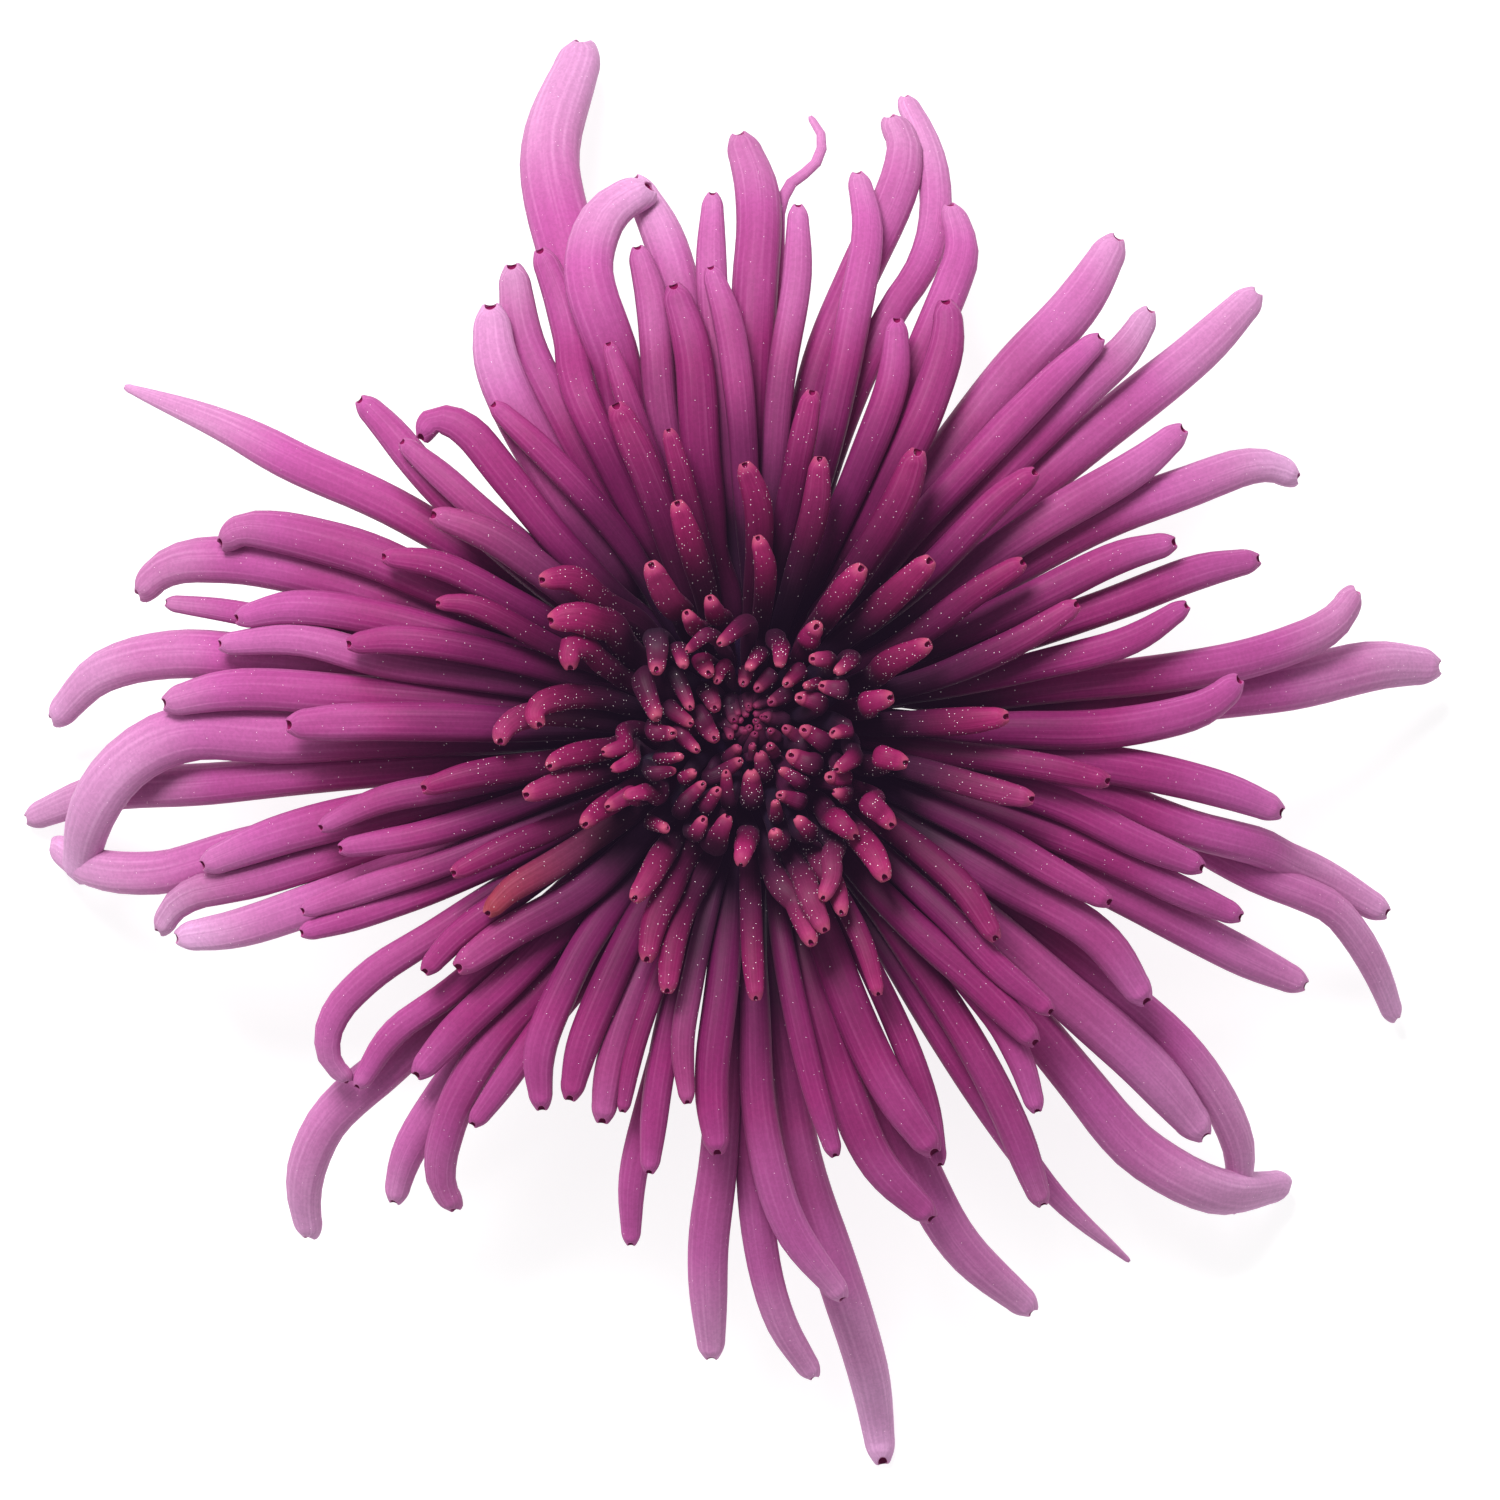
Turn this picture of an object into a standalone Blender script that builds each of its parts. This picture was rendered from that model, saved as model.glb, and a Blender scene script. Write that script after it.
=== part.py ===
"""Spider chrysanthemum: one cut bloom, lying face up on its stub of stem and its drooping quills.

Lengths and places are in millimetres until a mesh is made. The origin is on the surface that the
bloom lies on, under the middle of its outline, with +Z up and +Y towards the top of the bloom.
"""
import math
from typing import NamedTuple

import bmesh
import bpy
import numpy as np

MM = 0.001
HEART = np.array((1.2, 2.2))          # axis of the flower head
LONGEST_REACH = 60.0                  # from the heart to the furthest tips
INNER_REACH = 16.0                    # inside this the quills face straight up
CROWN_HEIGHT = 34.0                   # tips of the inner ring above the surface
DROOP = 32.5                          # how far the furthest tips hang below the inner ring

HEAD_BASE = 16.4                      # underside of the receptacle
HEAD_TOP = 23.4
HEAD_RADIUS = 8.8
ROOT_INNER = 5.9                      # ring of the head that carries the ray florets
ROOT_OUTER = 8.3
YOUNG_BASE_RADIUS = 4.7               # dome of the head that carries the centre florets
YOUNG_BASE_TOP = 26.2
YOUNG_FULLNESS = 1.2                  # the young florets swell this much beyond their lit width
CLEARANCE = 0.3                       # between pieces that touch in life

STEM_RADIUS = 3.3
STEM_TOP = 9.6
CUP_RADIUS = 9.4
CUP_RIM = 17.2
BRACT_ROWS = 3
BRACTS_A_ROW = 10
BRACT_LENGTHS = (6.5, 8.5, 10.5)      # lowest row to highest
BRACT_WIDTH = 4.4
BRACT_THICKNESS = 0.9

ROOT_RADIUS = 0.55                    # a quill is this thin where it leaves the head
LIE_GAP = 0.12                        # air between quills that lie on each other
NODE_GAP = 0.8                        # air between centre florets and ray florets
PATH_SAMPLES = 18


class Ray(NamedTuple):
    """A ray floret: where its tip is, its greatest width, and the bends from tip to heart."""

    tip: tuple
    width: float
    bends: tuple = ()
    form: str = "quill"


class Young(NamedTuple):
    """A centre floret: its tip, and the shoulder that it curls in from."""

    tip: tuple
    shoulder: tuple
    width: float


RAYS = (
    # upper left, from the top round to the left side
    Ray((-12.3, 59.4), 5.0, ((-15.2, 50.4), (-14.2, 43.8), (-10.2, 31.3))),
    Ray((-8.2, 48.1), 3.4, ((-5.6, 42.9), (-3.5, 34.6))),
    Ray((-6.6, 46.9), 4.2, ((-9.8, 45.8), (-11.8, 42.1), (-11.8, 36.3), (-9.8, 27.9))),
    Ray((-1.6, 46.8), 2.5, ((-1.7, 39.6),)),
    Ray((0.5, 51.7), 3.8, ((2.1, 47.1), (2.1, 37.9))),
    Ray((-1.8, 40.6), 2.5, ((-0.2, 35.4), (0.8, 26.3))),
    Ray((-4.9, 39.1), 3.2, ((-3.3, 33.8), (-2.4, 23.8))),
    Ray((-7.9, 42.3), 2.7, ((-6.7, 37.9), (-5.6, 27.1))),
    Ray((-16.0, 42.1), 2.9, ((-14.2, 37.9), (-11.8, 29.6), (-7.7, 19.6))),
    Ray((-18.3, 40.8), 3.2, ((-17.3, 34.6), (-13.5, 27.1)), "blunt"),
    Ray((-20.0, 37.4), 3.8, ((-19.5, 32.5), (-15.6, 24.6)), "blunt"),
    Ray((-19.9, 29.2), 2.3, ((-14.8, 24.3), (-10.5, 19.3))),
    Ray((-10.3, 34.3), 2.1, ((-8.7, 29.6), (-6.7, 23.8))),
    Ray((-9.7, 29.2), 2.8, ((-7.2, 23.8),)),
    Ray((-5.3, 27.1), 1.9, ((-4.1, 22.8),)),
    Ray((1.0, 24.3), 2.3, ((2.2, 20.4),)),
    Ray((-4.6, 21.1), 2.2, ((-3.3, 17.1),)),
    Ray((-6.8, 16.0), 2.3, ((-5.8, 13.8),)),
    Ray((-1.9, 13.2), 1.7),
    Ray((-3.8, 11.9), 1.6),
    Ray((-16.0, 14.5), 2.3, ((-13.1, 14.6), (-10.2, 11.9))),
    Ray((-15.2, 11.1), 2.7, ((-12.7, 11.3),)),
    Ray((-13.4, 7.1), 2.2, ((-13.3, 9.2), (-11.0, 8.8))),
    Ray((-15.9, 2.3), 2.2, ((-16.4, 3.7), (-13.9, 4.8))),
    Ray((-19.3, 0.9), 2.2, ((-18.8, 2.3), (-16.4, 3.4))),
    Ray((-15.3, -1.1), 1.9, ((-14.3, -0.3),)),
    Ray((-17.3, -3.4), 2.1, ((-15.6, -2.8),)),
    Ray((-24.6, 12.6), 1.9, ((-21.8, 12.5), (-14.3, 8.8))),
    Ray((-29.1, 16.5), 2.3, ((-24.3, 15.8), (-17.7, 12.5))),
    Ray((-25.0, 20.0), 2.7, ((-20.2, 18.3), (-13.5, 13.8))),
    Ray((-25.8, 26.2), 2.9, ((-24.7, 28.0), (-22.3, 27.2), (-18.9, 23.3), (-13.5, 16.7))),
    Ray((-27.5, 26.1), 2.3, ((-23.8, 22.9), (-19.3, 18.8))),
    Ray((-31.0, 29.6), 2.8, ((-28.9, 27.5), (-23.8, 21.7))),
    Ray((-50.8, 30.8), 3.7, ((-42.4, 27.5), (-36.0, 24.2), (-27.7, 20.4)), "spike"),
    Ray((-42.5, 17.4), 3.5, ((-41.0, 18.7), (-31.8, 17.1), (-23.8, 13.6))),
    Ray((-49.3, 13.2), 3.8, ((-47.3, 15.6), (-41.8, 16.3), (-32.7, 14.6))),
    Ray((-47.2, 12.7), 2.0, ((-41.3, 11.9),)),
    Ray((-41.3, 11.3), 2.9, ((-36.8, 12.3), (-27.7, 11.1))),
    Ray((-42.7, 9.2), 2.7, ((-36.0, 9.6), (-27.7, 7.5))),
    Ray((-32.0, 9.2), 2.5, ((-27.7, 9.6), (-19.3, 8.3))),
    Ray((-56.6, 2.8), 3.8, ((-53.0, 6.7), (-47.7, 8.3), (-41.0, 8.2))),
    Ray((-47.3, 4.2), 3.5, ((-41.8, 5.4), (-31.0, 5.0))),
    Ray((-37.0, 2.5), 3.2, ((-29.3, 2.8),)),
    Ray((-54.6, -10.3), 4.6, ((-53.7, -5.4), (-50.6, -0.8), (-45.2, 2.1), (-36.8, 1.7))),
    # upper right, from the top round to the right side
    Ray((6.5, 53.3), 1.2, ((7.5, 52.1), (6.9, 49.2), (4.4, 47.1), (3.6, 41.3)), "wisp"),
    Ray((5.5, 45.8), 2.4, ((5.4, 39.6), (4.0, 31.3))),
    Ray((14.3, 54.9), 2.7, ((16.1, 51.3), (17.0, 46.3), (16.1, 41.3), (13.2, 36.7), (9.8, 29.6))),
    Ray((13.0, 53.1), 3.5, ((14.4, 50.8), (13.6, 46.7), (10.7, 40.4), (7.3, 31.3))),
    Ray((10.4, 48.5), 2.8, ((11.3, 43.8), (9.8, 35.4), (8.2, 27.1))),
    Ray((18.0, 45.8), 3.0, ((19.2, 42.5), (17.8, 37.9))),
    Ray((17.7, 37.8), 3.2, ((18.0, 35.0), (16.1, 28.8), (13.2, 22.9))),
    Ray((13.7, 36.3), 2.7, ((13.4, 31.3), (10.7, 23.8))),
    Ray((32.1, 43.1), 4.0, ((29.0, 37.9), (22.3, 30.4))),
    Ray((43.8, 38.6), 3.8, ((39.0, 33.8), (30.7, 27.1))),
    Ray((34.8, 37.1), 3.2, ((32.8, 33.8), (28.2, 29.6))),
    Ray((30.7, 34.8), 2.8, ((26.5, 30.8), (19.0, 22.9))),
    Ray((37.6, 27.2), 3.2, ((34.0, 24.2), (26.5, 19.6))),
    Ray((47.1, 22.9), 3.4, ((44.4, 24.2), (37.3, 22.1), (29.0, 18.8))),
    Ray((25.3, 23.6), 2.5, ((22.3, 21.3), (16.5, 15.4))),
    Ray((15.5, 25.4), 2.8, ((14.0, 21.3), (10.7, 15.8))),
    Ray((6.7, 30.3), 2.3, ((5.7, 25.4),)),
    Ray((7.3, 24.8), 2.3, ((6.9, 20.4),)),
    Ray((2.1, 18.2), 1.8, ((2.8, 15.4),)),
    Ray((10.9, 15.7), 2.3, ((9.4, 13.8),)),
    Ray((16.6, 16.3), 2.5, ((14.0, 13.8),)),
    Ray((24.3, 16.1), 2.3, ((20.7, 13.8), (14.8, 9.6))),
    Ray((28.8, 12.6), 2.3, ((24.0, 9.6), (16.5, 6.3))),
    Ray((36.9, 17.7), 2.8, ((32.3, 16.5), (24.0, 12.5))),
    Ray((43.9, 16.3), 2.9, ((39.0, 15.3), (31.5, 12.5))),
    Ray((37.9, 12.5), 2.5, ((33.2, 9.6), (24.8, 7.3))),
    Ray((51.9, 13.8), 3.3, ((50.3, 11.1), (44.0, 8.3), (34.0, 6.3))),
    Ray((59.0, 7.3), 4.3, ((54.0, 7.5), (45.7, 5.8))),
    Ray((42.2, 6.4), 3.2, ((39.8, 4.2), (32.3, 2.3), (22.3, 1.7))),
    Ray((7.2, 10.9), 1.9),
    Ray((16.5, 9.3), 2.2, ((14.4, 8.3),)),
    Ray((13.4, 4.8), 2.1, ((12.3, 4.6),)),
    Ray((23.0, 3.2), 2.3, ((19.0, 2.8),)),
    # lower left, from the left side round to the bottom
    Ray((-58.9, -5.4), 3.3, ((-53.0, -3.2), (-42.4, -2.3))),
    Ray((-56.6, -7.2), 3.5, ((-54.3, -9.0), (-47.8, -9.8), (-41.0, -7.9))),
    Ray((-44.1, -9.2), 3.3, ((-37.7, -6.7), (-27.7, -4.2))),
    Ray((-47.7, -14.8), 2.9, ((-46.0, -12.1), (-39.3, -10.3), (-27.7, -6.7))),
    Ray((-46.3, -15.2), 3.3, ((-41.8, -14.6), (-35.2, -12.5)), "blunt"),
    Ray((-34.3, -6.1), 2.3, ((-29.3, -3.8), (-22.7, -2.5))),
    Ray((-32.7, -7.8), 2.3, ((-26.0, -6.7), (-17.7, -4.2))),
    Ray((-35.8, -13.0), 2.3, ((-29.5, -10.8), (-21.6, -8.3))),
    Ray((-35.9, -14.8), 2.3, ((-31.8, -13.6), (-24.3, -10.8))),
    Ray((-25.8, -2.8), 2.3, ((-21.8, -1.7), (-16.0, -0.8))),
    Ray((-23.3, -9.9), 2.1, ((-19.3, -7.9), (-14.3, -5.8))),
    Ray((-12.4, -5.9), 1.9, ((-11.3, -4.8),)),
    Ray((-20.4, -13.3), 2.3, ((-18.5, -11.3), (-14.3, -8.8))),
    Ray((-25.6, -18.1), 2.3, ((-22.9, -15.1), (-17.7, -11.3))),
    Ray((-22.9, -17.8), 2.9, ((-18.9, -15.0), (-11.0, -10.4))),
    Ray((-31.8, -27.1), 2.5, ((-33.4, -25.6), (-33.5, -22.5), (-30.6, -18.8), (-24.3, -14.6))),
    Ray((-31.2, -27.7), 2.3, ((-28.3, -23.3), (-22.9, -19.3))),
    Ray((-26.3, -26.7), 2.9, ((-22.9, -22.9), (-16.8, -17.1))),
    Ray((-35.1, -40.2), 3.5, ((-35.8, -36.3), (-33.9, -30.8), (-27.7, -25.0))),
    Ray((-28.1, -37.3), 3.0, ((-27.3, -33.8), (-24.3, -28.8))),
    Ray((-22.9, -37.8), 3.0, ((-24.3, -35.4), (-23.5, -30.4), (-20.6, -24.6), (-16.0, -19.2))),
    Ray((-21.6, -30.8), 2.3, ((-18.9, -27.1),)),
    Ray((-15.8, -29.5), 2.7, ((-16.0, -24.6), (-13.1, -17.9))),
    Ray((-13.5, -28.7), 2.7, ((-12.3, -23.8), (-8.9, -16.3))),
    Ray((-10.8, -30.6), 2.5, ((-10.0, -25.4), (-7.7, -18.3)), "blunt"),
    Ray((-9.1, -29.7), 1.6, ((-8.1, -24.6),)),
    Ray((-6.9, -34.8), 2.3, ((-6.2, -27.9), (-4.8, -20.4))),
    Ray((-8.4, -40.8), 2.3, ((-8.3, -35.4), (-6.8, -28.8))),
    Ray((-3.7, -29.0), 1.9, ((-4.1, -23.8), (-3.1, -17.9))),
    Ray((-1.2, -33.2), 2.8, ((-1.7, -27.1), (-0.8, -18.8))),
    Ray((-1.7, -50.3), 3.3, ((-2.0, -41.3), (-1.0, -32.9))),
    Ray((-8.2, -12.1), 2.1, ((-7.0, -10.4), (-5.6, -7.9))),
    Ray((-7.1, -17.2), 2.2, ((-6.4, -13.8), (-4.3, -9.6))),
    Ray((-5.4, -19.8), 2.1, ((-4.8, -15.4),)),
    Ray((0.7, -9.2), 1.8),
    Ray((-8.9, -3.4), 1.5),
    Ray((-10.8, 0.2), 1.6),
    Ray((-10.0, -1.2), 1.3),
    Ray((-10.5, -4.4), 1.6),
    # lower right, from the right side round to the bottom
    Ray((14.6, -0.7), 2.0, ((13.4, -0.4),)),
    Ray((25.1, -3.7), 2.2, ((21.5, -2.9), (15.7, -1.3))),
    Ray((31.4, -2.2), 2.3, ((26.5, -1.1), (19.0, 0.0))),
    Ray((45.8, -4.8), 3.2, ((41.5, -3.1), (33.2, -1.1), (22.3, 0.3))),
    Ray((39.2, -9.4), 2.7, ((34.0, -7.3), (26.5, -3.8))),
    Ray((42.4, -13.5), 2.7, ((37.3, -11.3), (29.0, -7.5))),
    Ray((54.7, -13.3), 3.2, ((49.0, -10.4), (39.0, -6.7), (29.0, -3.3))),
    Ray((47.8, -19.2), 3.2, ((43.2, -17.1), (34.8, -12.8), (26.5, -8.8))),
    Ray((55.4, -22.1), 2.8, ((53.6, -17.5), (49.8, -12.1), (43.2, -7.9))),
    Ray((31.5, -12.3), 2.5, ((26.5, -9.6), (20.7, -6.3))),
    Ray((22.0, -15.4), 2.3, ((19.4, -11.3), (15.7, -7.9))),
    Ray((26.6, -21.4), 2.3, ((22.3, -17.9), (17.3, -12.9))),
    Ray((34.5, -20.6), 3.2, ((30.3, -15.0), (22.3, -10.4))),
    Ray((25.3, -24.0), 2.7, ((20.7, -19.2), (14.8, -13.8))),
    Ray((25.4, -29.7), 2.3, ((24.0, -25.4), (21.1, -20.4))),
    Ray((39.4, -31.8), 4.0, ((34.8, -26.3), (27.3, -19.6), (20.7, -13.8))),
    Ray((46.3, -35.7), 4.0, ((41.1, -36.4), (34.0, -32.9), (28.2, -26.3), (22.3, -19.2))),
    Ray((42.1, -38.3), 3.0, ((42.3, -32.9), (39.0, -26.3), (33.2, -20.4))),
    Ray((25.9, -37.5), 2.7, ((22.8, -29.6), (18.2, -21.3))),
    Ray((33.2, -42.3), 2.5, ((27.3, -37.1), (21.5, -29.6)), "spike"),
    Ray((16.7, -38.6), 3.2, ((12.3, -34.2), (9.4, -27.9))),
    Ray((16.9, -33.1), 3.3, ((12.8, -27.1), (9.0, -18.8))),
    Ray((17.3, -34.2), 2.1, ((16.1, -28.8), (13.2, -21.3))),
    Ray((25.1, -46.4), 3.5, ((19.0, -40.8), (14.8, -32.9))),
    Ray((9.3, -45.3), 2.9, ((4.8, -39.2), (2.3, -30.4), (1.7, -20.4))),
    Ray((6.9, -51.9), 2.8, ((4.0, -47.1), (2.1, -38.8))),
    Ray((12.6, -59.3), 3.5, ((11.5, -52.1), (8.6, -42.5), (5.7, -32.9))),
    Ray((8.6, -33.4), 2.1, ((6.7, -27.1), (4.8, -18.8))),
    Ray((2.0, -20.4), 1.9, ((1.7, -16.3),)),
    Ray((12.2, -20.0), 1.7, ((10.8, -15.4),)),
    Ray((7.8, -14.7), 2.0, ((6.7, -12.5),)),
    Ray((6.7, -15.8), 2.0, ((5.7, -12.9),)),
    Ray((9.2, -13.3), 1.8, ((8.7, -11.3),)),
    Ray((7.5, -12.1), 1.8, ((8.3, -9.6),)),
    Ray((12.8, -10.4), 2.2, ((11.5, -7.9),)),
    Ray((10.3, -6.8), 2.0),
    Ray((13.4, -6.0), 2.0, ((12.3, -4.8),)),
)

CENTRE = (
    # from the top of the heart, row by row to its foot
    Young((-1.2, 9.2), (1.4, 11.0), 1.4),
    Young((-3.8, 8.6), (-1.6, 10.7), 1.2),
    Young((-4.0, 7.3), (-4.4, 9.5), 1.5),
    Young((-6.3, 6.8), (-5.8, 9.7), 1.9),
    Young((-1.8, 6.6), (-2.8, 8.3), 1.6),
    Young((-1.3, 6.0), (-0.7, 7.6), 1.1),
    Young((-6.2, 3.0), (-7.4, 6.5), 2.0),
    Young((-3.4, 3.8), (-4.8, 7.4), 1.3),
    Young((-1.3, 3.7), (-2.2, 5.9), 1.5),
    Young((0.9, 5.8), (1.3, 7.3), 1.2),
    Young((1.3, 7.1), (2.7, 8.8), 1.3),
    Young((2.0, 5.4), (3.5, 6.8), 1.2),
    Young((3.9, 7.3), (4.5, 9.6), 1.5),
    Young((4.4, 5.8), (6.0, 7.4), 1.3),
    Young((3.1, 4.3), (4.8, 5.2), 1.2),
    Young((6.5, 8.0), (8.0, 7.9), 1.6),
    Young((8.6, 6.8), (10.0, 8.0), 1.5),
    Young((6.0, 5.7), (7.3, 6.0), 1.0),
    Young((7.3, 5.8), (9.8, 5.0), 1.6),
    Young((5.4, 4.8), (7.5, 4.3), 1.5),
    Young((2.6, 3.2), (4.5, 2.9), 1.2),
    Young((4.3, 2.3), (6.6, 0.7), 1.2),
    Young((5.8, 2.2), (7.8, 0.9), 1.5),
    Young((8.3, 1.7), (10.1, 2.3), 1.5),
    Young((8.6, -1.3), (11.0, 0.3), 1.6),
    Young((7.9, -1.8), (9.5, -2.1), 1.5),
    Young((8.4, -3.1), (9.5, -3.6), 1.4),
    Young((4.7, 0.1), (7.3, -1.3), 1.7),
    Young((4.0, -1.2), (6.0, -2.3), 1.2),
    Young((3.8, -3.3), (6.0, -3.8), 1.3),
    Young((3.6, -3.8), (3.7, -5.3), 1.1),
    Young((5.3, -5.2), (7.1, -6.6), 1.5),
    Young((3.5, -6.3), (3.9, -7.4), 1.6),
    Young((2.3, 0.2), (2.8, -1.8), 1.4),
    Young((1.6, -1.3), (1.7, -4.2), 1.7),
    Young((1.7, 0.9), (1.7, -0.3), 0.9),
    Young((3.1, 0.9), (3.7, -0.3), 1.0),
    Young((3.1, 2.1), (3.9, 1.3), 0.9),
    Young((1.1, 2.2), (0.9, 1.1), 0.9),
    Young((-0.5, -1.3), (-0.3, -4.3), 1.1),
    Young((-1.1, -2.8), (-2.4, -4.6), 1.3),
    Young((-2.3, -2.3), (-4.8, -4.6), 1.3),
    Young((0.8, -0.4), (-2.0, -2.2), 1.2),
    Young((0.6, 0.7), (-0.4, -0.4), 1.1),
    Young((-4.8, -1.3), (-7.7, -2.3), 1.4),
    Young((-3.1, -1.4), (-4.2, -2.0), 1.2),
    Young((-4.1, -0.1), (-6.8, -0.5), 1.2),
    Young((-4.7, 1.8), (-7.1, 1.8), 1.5),
    Young((-3.3, 2.5), (-5.4, 4.0), 1.3),
    Young((-1.3, 1.2), (-3.0, 3.5), 1.5),
    Young((-2.8, 0.3), (-4.6, 2.1), 1.2),
    Young((0.2, 2.7), (-0.2, 4.8), 1.2),
    Young((1.4, 3.9), (1.3, 5.1), 0.9),
    Young((-0.1, 1.4), (-0.3, 2.6), 0.8),
    Young((-5.4, -6.2), (-7.1, -5.0), 1.5),
    Young((-2.3, -5.2), (-3.0, -6.7), 1.5),
    Young((-0.3, -5.0), (-1.1, -7.4), 1.8),
)


def spline(points, samples):
    """A smooth curve through the points, as many evenly spread samples of it as asked."""
    points = np.asarray(points, dtype=float)
    if len(points) == 2:
        share = np.linspace(0.0, 1.0, samples)[:, None]
        return points[0] * (1.0 - share) + points[1] * share
    steps = np.sqrt(np.linalg.norm(np.diff(points, axis=0), axis=1))
    knots = np.concatenate(([0.0], np.cumsum(steps)))
    slopes = np.gradient(points, knots, axis=0)
    at = np.linspace(0.0, knots[-1], samples * 4)
    span = np.clip(np.searchsorted(knots, at, side="right") - 1, 0, len(steps) - 1)
    width = steps[span][:, None]
    t = ((at - knots[span])[:, None]) / width
    curve = (
        points[span] * (2 * t**3 - 3 * t**2 + 1)
        + points[span + 1] * (3 * t**2 - 2 * t**3)
        + slopes[span] * width * (t**3 - 2 * t**2 + t)
        + slopes[span + 1] * width * (t**3 - t**2)
    )
    return by_length(curve, samples)


def by_length(curve, samples):
    """The curve again, sampled at equal lengths."""
    steps = np.linalg.norm(np.diff(curve, axis=0), axis=1)
    length = np.concatenate(([0.0], np.cumsum(steps)))
    wanted = np.linspace(0.0, length[-1], samples)
    columns = [np.interp(wanted, length, curve[:, axis]) for axis in range(curve.shape[1])]
    return np.stack(columns, axis=1)


def head_height(radius):
    """Height of the domed receptacle at a distance from its axis."""
    fall = min(radius / (HEAD_RADIUS + 0.2), 1.0)
    return HEAD_BASE + (HEAD_TOP - HEAD_BASE) * math.sqrt(1.0 - fall * fall)


def ray_path(ray, crowding):
    """Middle line of a ray floret; crowding runs from 0 at the inner ring to 1 at the outermost."""
    stops = [np.array(ray.tip)] + [np.array(bend) for bend in ray.bends]
    outward = stops[-1] - HEART
    outward = outward / np.linalg.norm(outward)
    root_radius = math.sqrt(ROOT_INNER**2 + (ROOT_OUTER**2 - ROOT_INNER**2) * crowding)
    root = HEART + outward * root_radius
    plan = spline([root] + stops[::-1], 60)
    reach = float(np.linalg.norm(stops[0] - HEART))
    fall = max(reach - INNER_REACH, 0.0) / (LONGEST_REACH - INNER_REACH)
    root_height = head_height(root_radius) - 0.6
    tip_height = CROWN_HEIGHT - DROOP * fall * fall
    if reach < INNER_REACH:
        tip_height -= 0.25 * (INNER_REACH - reach)
    leave = 7.0 + 3.0 * fall
    arrive = 18.0 * fall * fall - 0.5
    share = np.linspace(0.0, 1.0, len(plan))
    heights = (
        root_height * (1 - share) ** 3
        + 3 * (root_height + leave) * share * (1 - share) ** 2
        + 3 * (tip_height + arrive) * share**2 * (1 - share)
        + tip_height * share**3
    )
    return by_length(np.column_stack((plan, heights)), PATH_SAMPLES)


def young_path(young):
    """Middle line of a centre floret: up and out to its shoulder, then in over the heart."""
    shoulder = np.array(young.shoulder)
    out = float(np.linalg.norm(shoulder - HEART))
    near = float(np.linalg.norm(np.array(young.tip) - HEART))
    root = HEART + (shoulder - HEART) * min(0.42, 4.0 / max(out, 0.1))
    base = YOUNG_BASE_TOP - 1.1 - 0.04 * float(np.linalg.norm(root - HEART)) ** 2
    tip_height = 28.2 + 4.6 * min(near / 7.0, 1.0) ** 1.4
    shoulder_height = tip_height - 1.0 - 1.1 * min(out / 9.0, 1.0) - 0.4 * young.width
    middle = 0.5 * (root + shoulder)
    stops = (
        (*root, base),
        (*middle, 0.5 * (base + shoulder_height) - 0.3),
        (*shoulder, shoulder_height),
        (*young.tip, tip_height),
    )
    return spline(stops, PATH_SAMPLES)


def quill_radius(form, width, share):
    """Radius of a quill along its length, from 0 at the root to 1 at the tip."""
    half = 0.5 * width * (YOUNG_FULLNESS if form == "young" else 1.0)
    swell = np.interp(share, (0.0, 0.15, 0.4, 0.7, 0.85, 0.95, 1.0), PROFILES[form])
    return np.maximum(swell * half, np.where(share < 0.3, ROOT_RADIUS * 0.8, 0.0) * (half > 0.8))


PROFILES = {
    "quill": (0.44, 0.60, 0.86, 1.0, 0.90, 0.66, 0.34),
    "blunt": (0.44, 0.60, 0.86, 0.98, 0.98, 0.84, 0.50),
    "spike": (0.44, 0.56, 0.90, 0.92, 0.62, 0.34, 0.16),
    "wisp": (0.60, 0.70, 0.90, 0.90, 0.80, 0.70, 0.50),
    "young": (0.50, 0.64, 0.94, 1.0, 0.82, 0.64, 0.38),
}


def lowest(distance):
    """Lowest height a quill's underside may have: clear of the bracts, then of the surface."""
    return np.clip(17.9 - 1.6 * (distance - 12.5), 0.0, 17.9)


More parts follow.
